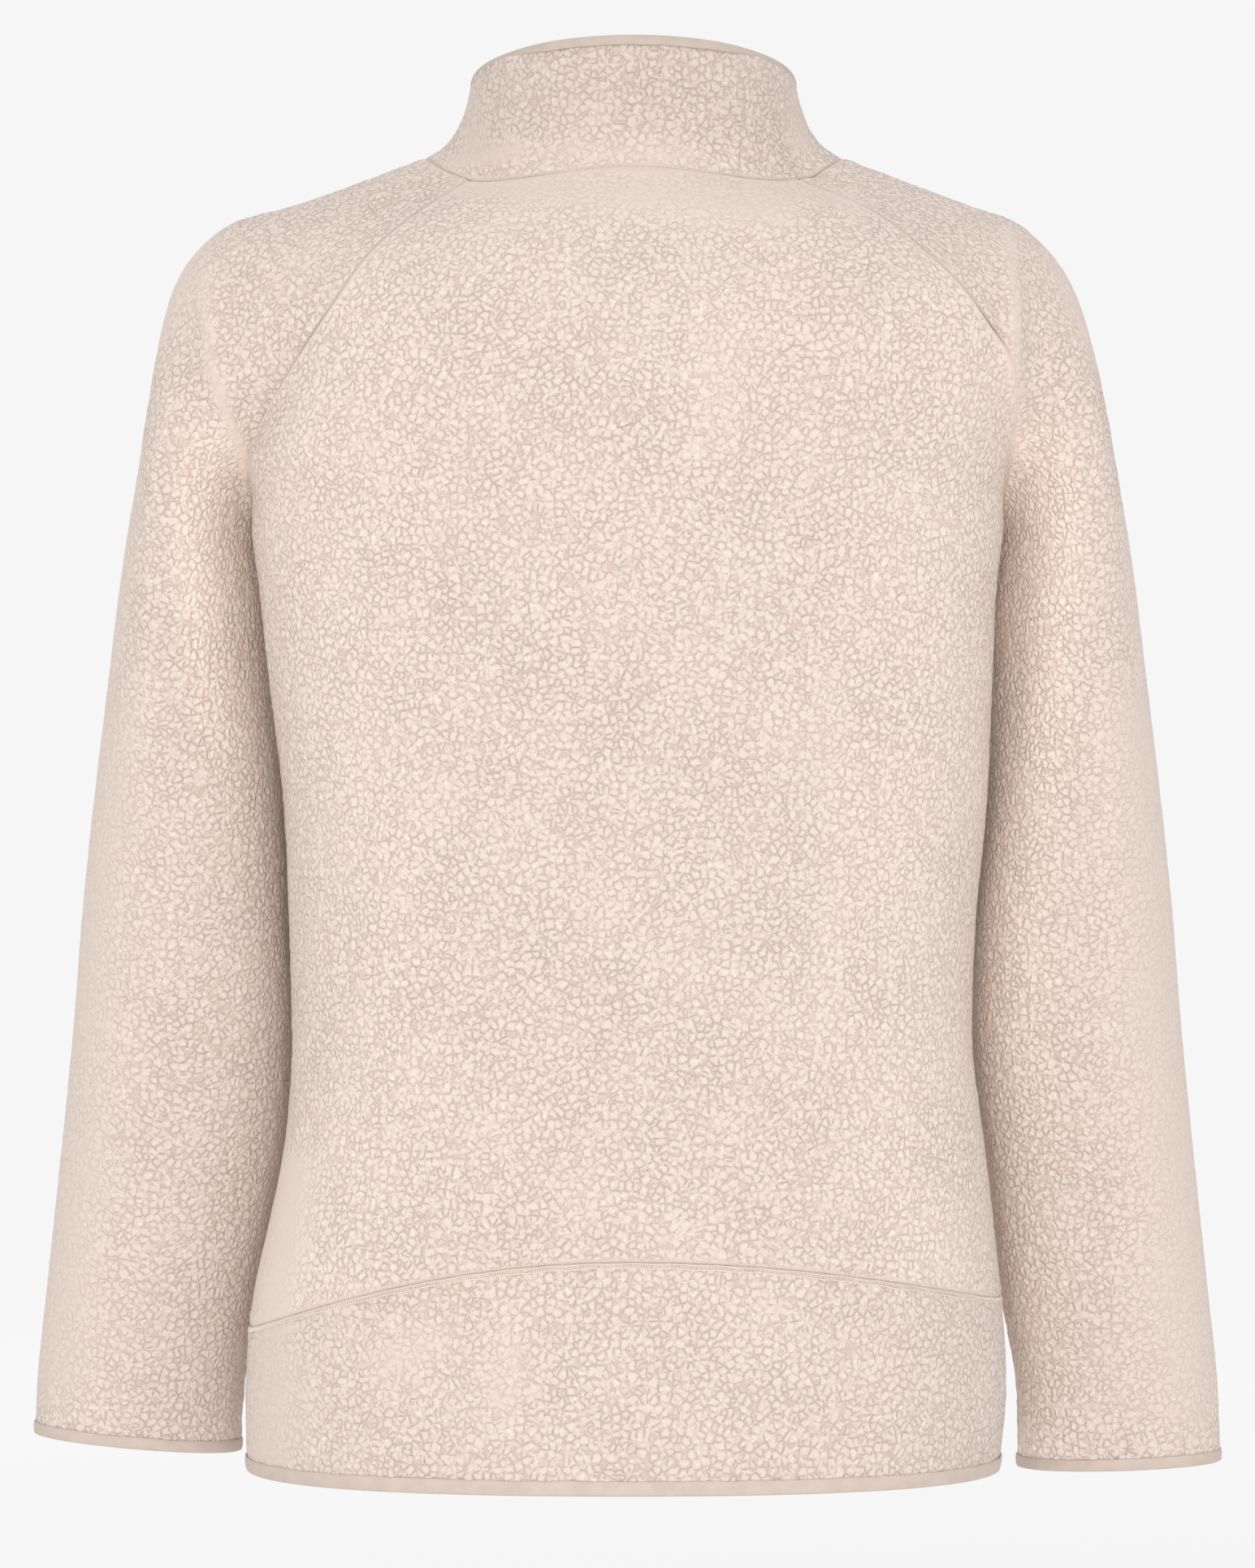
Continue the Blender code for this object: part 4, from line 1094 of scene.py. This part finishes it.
def build_garment():
    """All pile cloth but the collar, and the bindings of cuffs and hem."""
    yoke, crease, body, low, arm = garment_levels()
    half_gap = SEAM_GAP / 2
    gaps = (half_gap, half_gap)
    upper = np.concatenate((yoke, crease, body))
    whole = np.concatenate((upper, low[1:]))
    ring = np.concatenate((yoke, crease, arm))
    grid = surface_of(back_row, upper, BACK_COLUMNS, gaps)
    edges = (SIDE_SEAM, SIDE_SEAM, NECK_SEAM, BODY_SEAM)
    # painted light: the back lighter towards its sides
    painted_light_and_shade = side_painted_light(grid)
    pieces = {"back_panel": cloth("back_panel", grid, 1, WALL, edges, crease_share(upper), painted_light_and_shade)}
    grid = surface_of(back_row, low, BACK_COLUMNS, gaps, LOW_SMOOTHING)
    edges = (SIDE_SEAM, SIDE_SEAM, BODY_SEAM, BOUND_EDGE)
    pieces["lower_back_panel"] = cloth("lower_back_panel", grid, 1, WALL, edges)
    for side, label in SIDES:
        grid = surface_of(
            lambda level: body_row(level, True, side), whole, FRONT_COLUMNS, (ZIP_HALF, half_gap),
        )
        name = "front_" + label
        edges = (ZIP_SEAM, SIDE_SEAM, BODY_SEAM, BOUND_EDGE)
        pieces[name] = cloth(name, grid, side, WALL, edges, crease_share(whole))
        grid = surface_of(lambda level: sleeve_row(level, side), ring, SLEEVE_COLUMNS, gaps)
        grid = eased(grid, ring)
        edges = (ARM_SEAM, ARM_SEAM, BODY_SEAM, BOUND_EDGE)
        # painted light: the sleeve lighter on its inner face
        painted_light_and_shade = sleeve_painted_light(grid, side)
        sleeve = cloth("sleeve_" + label, grid, -side, WALL, edges, crease_share(ring), painted_light_and_shade)
        rim = thinned([values[:-1] for values in rim_of(sleeve, -1, -2)])
        binding("cuff_binding_" + label, rim, WALL, CUFF_TAPE, True)
    left, back, right = (
        rim_of(pieces[name], -1, -2) for name in ("front_left", "lower_back_panel", "front_right")
    )
    parts = zip(left, back, [values[::-1] for values in right])
    binding("hem_binding", thinned([merge_ends(rows) for rows in parts]), WALL, HEM_TAPE, False)
    return pieces


def neck_ring():
    """The neck seam, from the centre front round the left side, the back and the right side."""
    left, right = (
        np.concatenate((
            body_row(0.0, False, side), sleeve_row(0.0, side)[1:], body_row(0.0, True, side)[-2::-1],
        ))
        for side in (1, -1)
    )
    return np.concatenate((left[::-1], right[1:]))


def slot_turn(turn):
    """Extra turn towards the back that keeps the zip's slot as wide at the top of the collar."""
    share = max(3 * abs(turn) / math.pi - 2, 0.0)
    return share * (math.asin(ZIP_HALF / COLLAR_TOP_HALF) - math.asin(ZIP_HALF / NECK_HALF))


def collar_grid():
    """The collar's outer face, from its top edge down to the neck seam."""
    centre_y = (COLLAR_TOP_BACK + COLLAR_TOP_FRONT) / 2
    depth = (COLLAR_TOP_BACK - COLLAR_TOP_FRONT) / 2
    columns = []
    for base in placed(neck_ring(), COLLAR_COLUMNS, (ZIP_HALF, ZIP_HALF)):
        across = (base[0] - COLLAR_LEAN) / NECK_HALF
        behind = (base[1] - NECK_CENTRE_Y) / NECK_DEPTH
        turn = math.atan2(across, behind)
        turn -= math.copysign(slot_turn(turn), turn)
        rim_y = centre_y + depth * math.cos(turn)
        rim_z = COLLAR_TOP_Z - (COLLAR_TOP_BACK - rim_y) * COLLAR_TILT
        rim = np.array((COLLAR_LEAN + COLLAR_TOP_HALF * math.sin(turn), rim_y, rim_z))
        inward = -90 - math.degrees(turn)
        start = way(inward, read(COLLAR_RISE, abs(math.degrees(turn)))[0])
        finish = way(inward, 90 - COLLAR_CLOSING)
        columns.append(placed(arc(base, start, rim, finish), COLLAR_ROWS, (SEAM_GAP / 2, 0.0)))
    return np.array(columns).transpose(1, 0, 2)[::-1]


def build_collar():
    """The collar and its binding, which all but vanishes in the pile at the sides."""
    grid = collar_grid()
    edges = (COLLAR_ZIP_SEAM, COLLAR_ZIP_SEAM, BOUND_EDGE, ARM_SEAM)
    # painted shade: the collar is darkened, most at its top edge
    down = rise(np.linspace(0.0, 1.0, len(grid)), *COLLAR_FADE)[:, None]
    painted_light_and_shade = COLLAR_PAINTED_SHADE + (COLLAR_FOOT_PAINTED_SHADE - COLLAR_PAINTED_SHADE) * down
    piece = cloth("collar", grid, 1, COLLAR_WALL, edges, painted_light_factor=painted_light_and_shade)
    line, out, past = thinned(rim_of(piece, 0, 1))
    hidden = rise(np.abs(line[:, 0] - COLLAR_LEAN), *COLLAR_TAPE_X) * COLLAR_TAPE_NARROWS
    line = line - out * (COLLAR_TAPE_SINKS * hidden)[:, None]
    # its binding takes the same painted shade as the collar's edge
    binding(
        "collar_binding", (line, out, past), COLLAR_WALL, COLLAR_TAPE, False,
        1.0 - hidden, COLLAR_PAINTED_SHADE,
    )
    return grid


# ---- zip and stitches ----
def zip_path(collar):
    """Points up the centre front, their outward directions and the length run from the hem."""
    yoke, crease, body, low, _ = garment_levels()
    levels = np.concatenate((yoke, crease, body, low[1:]))[::-1]
    rows = collar[::-1]
    climb = (rows[:, 0] + rows[:, -1]) / 2
    climb[:, 0] = COLLAR_LEAN
    line = np.concatenate(([centre_point(level, True) for level in levels], climb[1:]))
    run = run_of(line)
    even = np.linspace(0.0, run[-1], ZIP_POINTS)
    line = smoothed(along(line, run, even), ZIP_SMOOTHING)
    ahead = np.gradient(line, axis=0)
    out = unit(np.stack((np.zeros(len(line)), -ahead[:, 2], ahead[:, 1]), axis=1))
    return line, out, even


def on_path(path, place):
    """A point of the zip's path, its outward direction and its upward one."""
    line, out, run = path
    normal = unit(along(out, run, place))
    return along(line, run, place), normal, np.array((0.0, normal[2], -normal[1]))


def zip_tape(label, side, path, span):
    """Woven tape beside the chain, with a raised cord along its inner edge."""
    near, far = ZIP_TAPE_EDGES
    low, high = ZIP_TAPE_HEIGHT
    crest, width, height = CORD
    section = [(near, high), (near + crest, high + height), (near + width, high)]
    section += [(near + (far - near) * share, high) for share in (0.35, 0.55, 0.75, 1.0)]
    section += [(far, low), (near, low)]
    stations, runs = [], []
    for place in np.arange(*span, ZIP_TAPE_STEP):
        point, normal, _ = on_path(path, place)
        stations.append([
            point + np.array((x * side, 0.0, 0.0))
            + normal * (lift - max(x - ZIP_HALF, 0.0) * ZIP_TAPE_SLANT)
            for x, lift in section
        ])
        runs.append([(place, x, 0.0) for x, _ in section])
    item = swept("zip_tape_" + label + "_weave", [np.array(stations)], "zip_tape")
    store(item, "run", runs, "FLOAT_VECTOR", "vector")
    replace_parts(item, "zip_tape_" + label)


def zip_chain(path, span):
    """Coil elements that meet in the middle, each a small bent bar with six sides."""
    turns = np.arange(6) * math.pi / 3
    elements = []
    for index, place in enumerate(np.arange(*span, ZIP_PITCH)):
        side = 1 if index % 2 else -1
        point, normal, up = on_path(path, place)
        ring = np.outer(np.cos(turns), up) + np.outer(np.sin(turns), normal)
        elements.append(np.array([
            point + np.array((x * side, 0.0, 0.0)) + normal * (height - CHAIN_DEPTH)
            + ring * size * COIL_HALF
            for x, height, size in COIL_SHAPE
        ]))
    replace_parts(swept("zip_coil", elements, "zip_plastic"), "zip_chain")


def thread_tube(line):
    """Stations of a thread along a line."""
    line = np.array(line)
    ahead = unit(np.gradient(line, axis=0))
    first = unit(np.cross(ahead, np.array((0.31, 0.17, 0.93))))
    second = np.cross(ahead, first)
    turns = np.linspace(0.0, 2 * math.pi, THREAD_SIDES, endpoint=False)
    return np.array([
        line + THREAD * (math.cos(turn) * first + math.sin(turn) * second) for turn in turns
    ]).transpose(1, 0, 2)


def on_cloth(piece, column, down, lift):
    """Point a given length below the first row at a fractional column, lifted off the cloth."""
    grid, out = piece
    left = int(min(max(math.floor(column), 0), grid.shape[1] - 2))
    share = column - left

    def at(values):
        first, second = (
            along(values[:, beside], run_of(grid[:, beside]), down) for beside in (left, left + 1)
        )
        return first + share * (second - first)

    return at(grid) + unit(at(out)) * lift


def build_stitches(pieces):
    """The cover stitch below the low seam, and the short row below the neck seam."""
    low_panel, back = pieces["lower_back_panel"], pieces["back_panel"]
    end, flat, middle = LIFTS
    run = run_of(low_panel[0][LADDER_ROW])
    places = np.arange(LADDER_END, run[-1] - LADDER_END, LADDER_PITCH)
    lines, rails = [], ([], [])
    for place, column in zip(places, np.interp(places, run, np.arange(len(run)))):
        wander = LADDER_WANDER[0] * math.sin(place * LADDER_WANDER[1])
        top, low = LADDER_TOP + wander, LADDER_TOP + LADDER_WIDTH + wander
        rungs = ((top, end), ((top + low) / 2, middle), (low, end))
        lines.append([on_cloth(low_panel, column, down, lift) for down, lift in rungs])
        for rail, down in zip(rails, (top, low)):
            rail.append(on_cloth(low_panel, column, down, flat))
    tubes = [thread_tube(line) for line in (*lines, *rails)]
    swept("low_seam_stitches", tubes, "binding", "thread")
    across = -back[0][NECK_ROW, :, 0]
    start, stop, below = NECK_STITCHES
    pitch, length = NECK_PITCH
    dashes = []
    for x in np.arange(start, stop, pitch):
        column, ahead = np.interp((-x, -x - length), across, np.arange(len(across)))
        path = ((column, -end), ((column + ahead) / 2, flat), (ahead, -end))
        dashes.append(thread_tube([on_cloth(back, place, below, lift) for place, lift in path]))
    swept("neck_stitches", dashes, "binding", "thread")


def build_zip(collar):
    """Both tapes and the chain, and the looks of the slider, its tab and the insertion box."""
    path = zip_path(collar)
    top = path[2][-1] - ZIP_TOP_DROP
    for side, label in SIDES:
        zip_tape(label, side, path, (ZIP_BOTTOM_RISE, top))
    zip_chain(path, (ZIP_BOTTOM_RISE + CHAIN_START, top - CHAIN_STOP))
    for name in ("zip_slider", "zip_pull_tab", "zip_bottom_box"):
        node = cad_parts[name]
        node.data.materials.clear()
        node.data.materials.append(MATERIALS["zip_metal"])
        bevel = node.modifiers.new("soft edges", "BEVEL")
        bevel.width = SOFT_EDGE
        bevel.segments = 2
        bevel.limit_method = "ANGLE"


# ---- room ----
def floor_material():
    """Pale matt floor that fades into the backdrop further out."""
    made, tree, shader = new_material("floor")
    place = add(tree, "ShaderNodeTexCoord").outputs["Object"]
    distance = add(tree, "ShaderNodeVectorMath", {0: place}, operation="LENGTH").outputs["Value"]
    feed(tree, shader, {
        "Base Color": FLOOR_COLOUR, "Roughness": 0.9, "Specular IOR Level": 0.0,
        "Emission Color": BACKDROP, "Emission Strength": FLOOR_GLOW,
        "Alpha": ramp(tree, distance, *FLOOR_FADE, 1.0, 0.0),
    })
    return made


def put(name, data, place=(0.0, 0.0, 0.0), turn=(0.0, 0.0, 0.0)):
    """Adds an object of the room."""
    item = bpy.data.objects.new(name, data)
    item.location = place
    item.rotation_euler = turn
    bpy.context.scene.collection.objects.link(item)
    return item


def build_room():
    """Backdrop, floor, lamps and the camera behind the jacket."""
    scene = bpy.context.scene
    scene.view_settings.view_transform = "Standard"
    scene.view_settings.look = "None"
    world = bpy.data.worlds.new("studio")
    world.use_nodes = True
    feed(world.node_tree, world.node_tree.nodes["Background"], {"Color": BACKDROP, "Strength": 1.0})
    scene.world = world
    mesh = bpy.data.meshes.new("floor")
    turns = np.linspace(0.0, 2 * math.pi, FLOOR_SIDES, endpoint=False)
    ring = [(FLOOR_SIZE * math.cos(turn), FLOOR_SIZE * math.sin(turn), FLOOR_Z) for turn in turns]
    mesh.from_pydata(ring, [], [tuple(range(FLOOR_SIDES))])
    mesh.materials.append(floor_material())
    put("floor", mesh)
    for name, place, size, power in LAMPS:
        light = bpy.data.lights.new(name, "AREA")
        light.shape = "SQUARE"
        light.size = size
        light.energy = power
        direction = Vector(AIM) - Vector(place)
        put(name, light, place, direction.to_track_quat("-Z", "Y").to_euler())
    camera = bpy.data.cameras.new("camera")
    camera.lens = CAMERA_LENS
    camera.sensor_width = 36.0
    camera.clip_end = 60.0
    scene.camera = put("camera", camera, CAMERA_PLACE, (math.pi / 2, 0.0, math.pi))


build_room()
MATERIALS = {
    "fleece": fleece_material(),
    "binding": tape_material("knit_binding", BINDING, BINDING_LIGHT, 1400.0, True),
    "zip_tape": tape_material("zip_tape", ZIP_TAPE, BINDING, 1250.0),
    "zip_plastic": hard_material("zip_coil", ZIP_PLASTIC, 0.42, 0.0, 900.0),
    "zip_metal": hard_material("zip_metal", ZIP_METAL, 0.50, 0.35, 700.0),
    "thread": thread_material(),
}
PILE_GROUP = pile_group()
PIECES = build_garment()
COLLAR = build_collar()
build_stitches(PIECES)
build_zip(COLLAR)
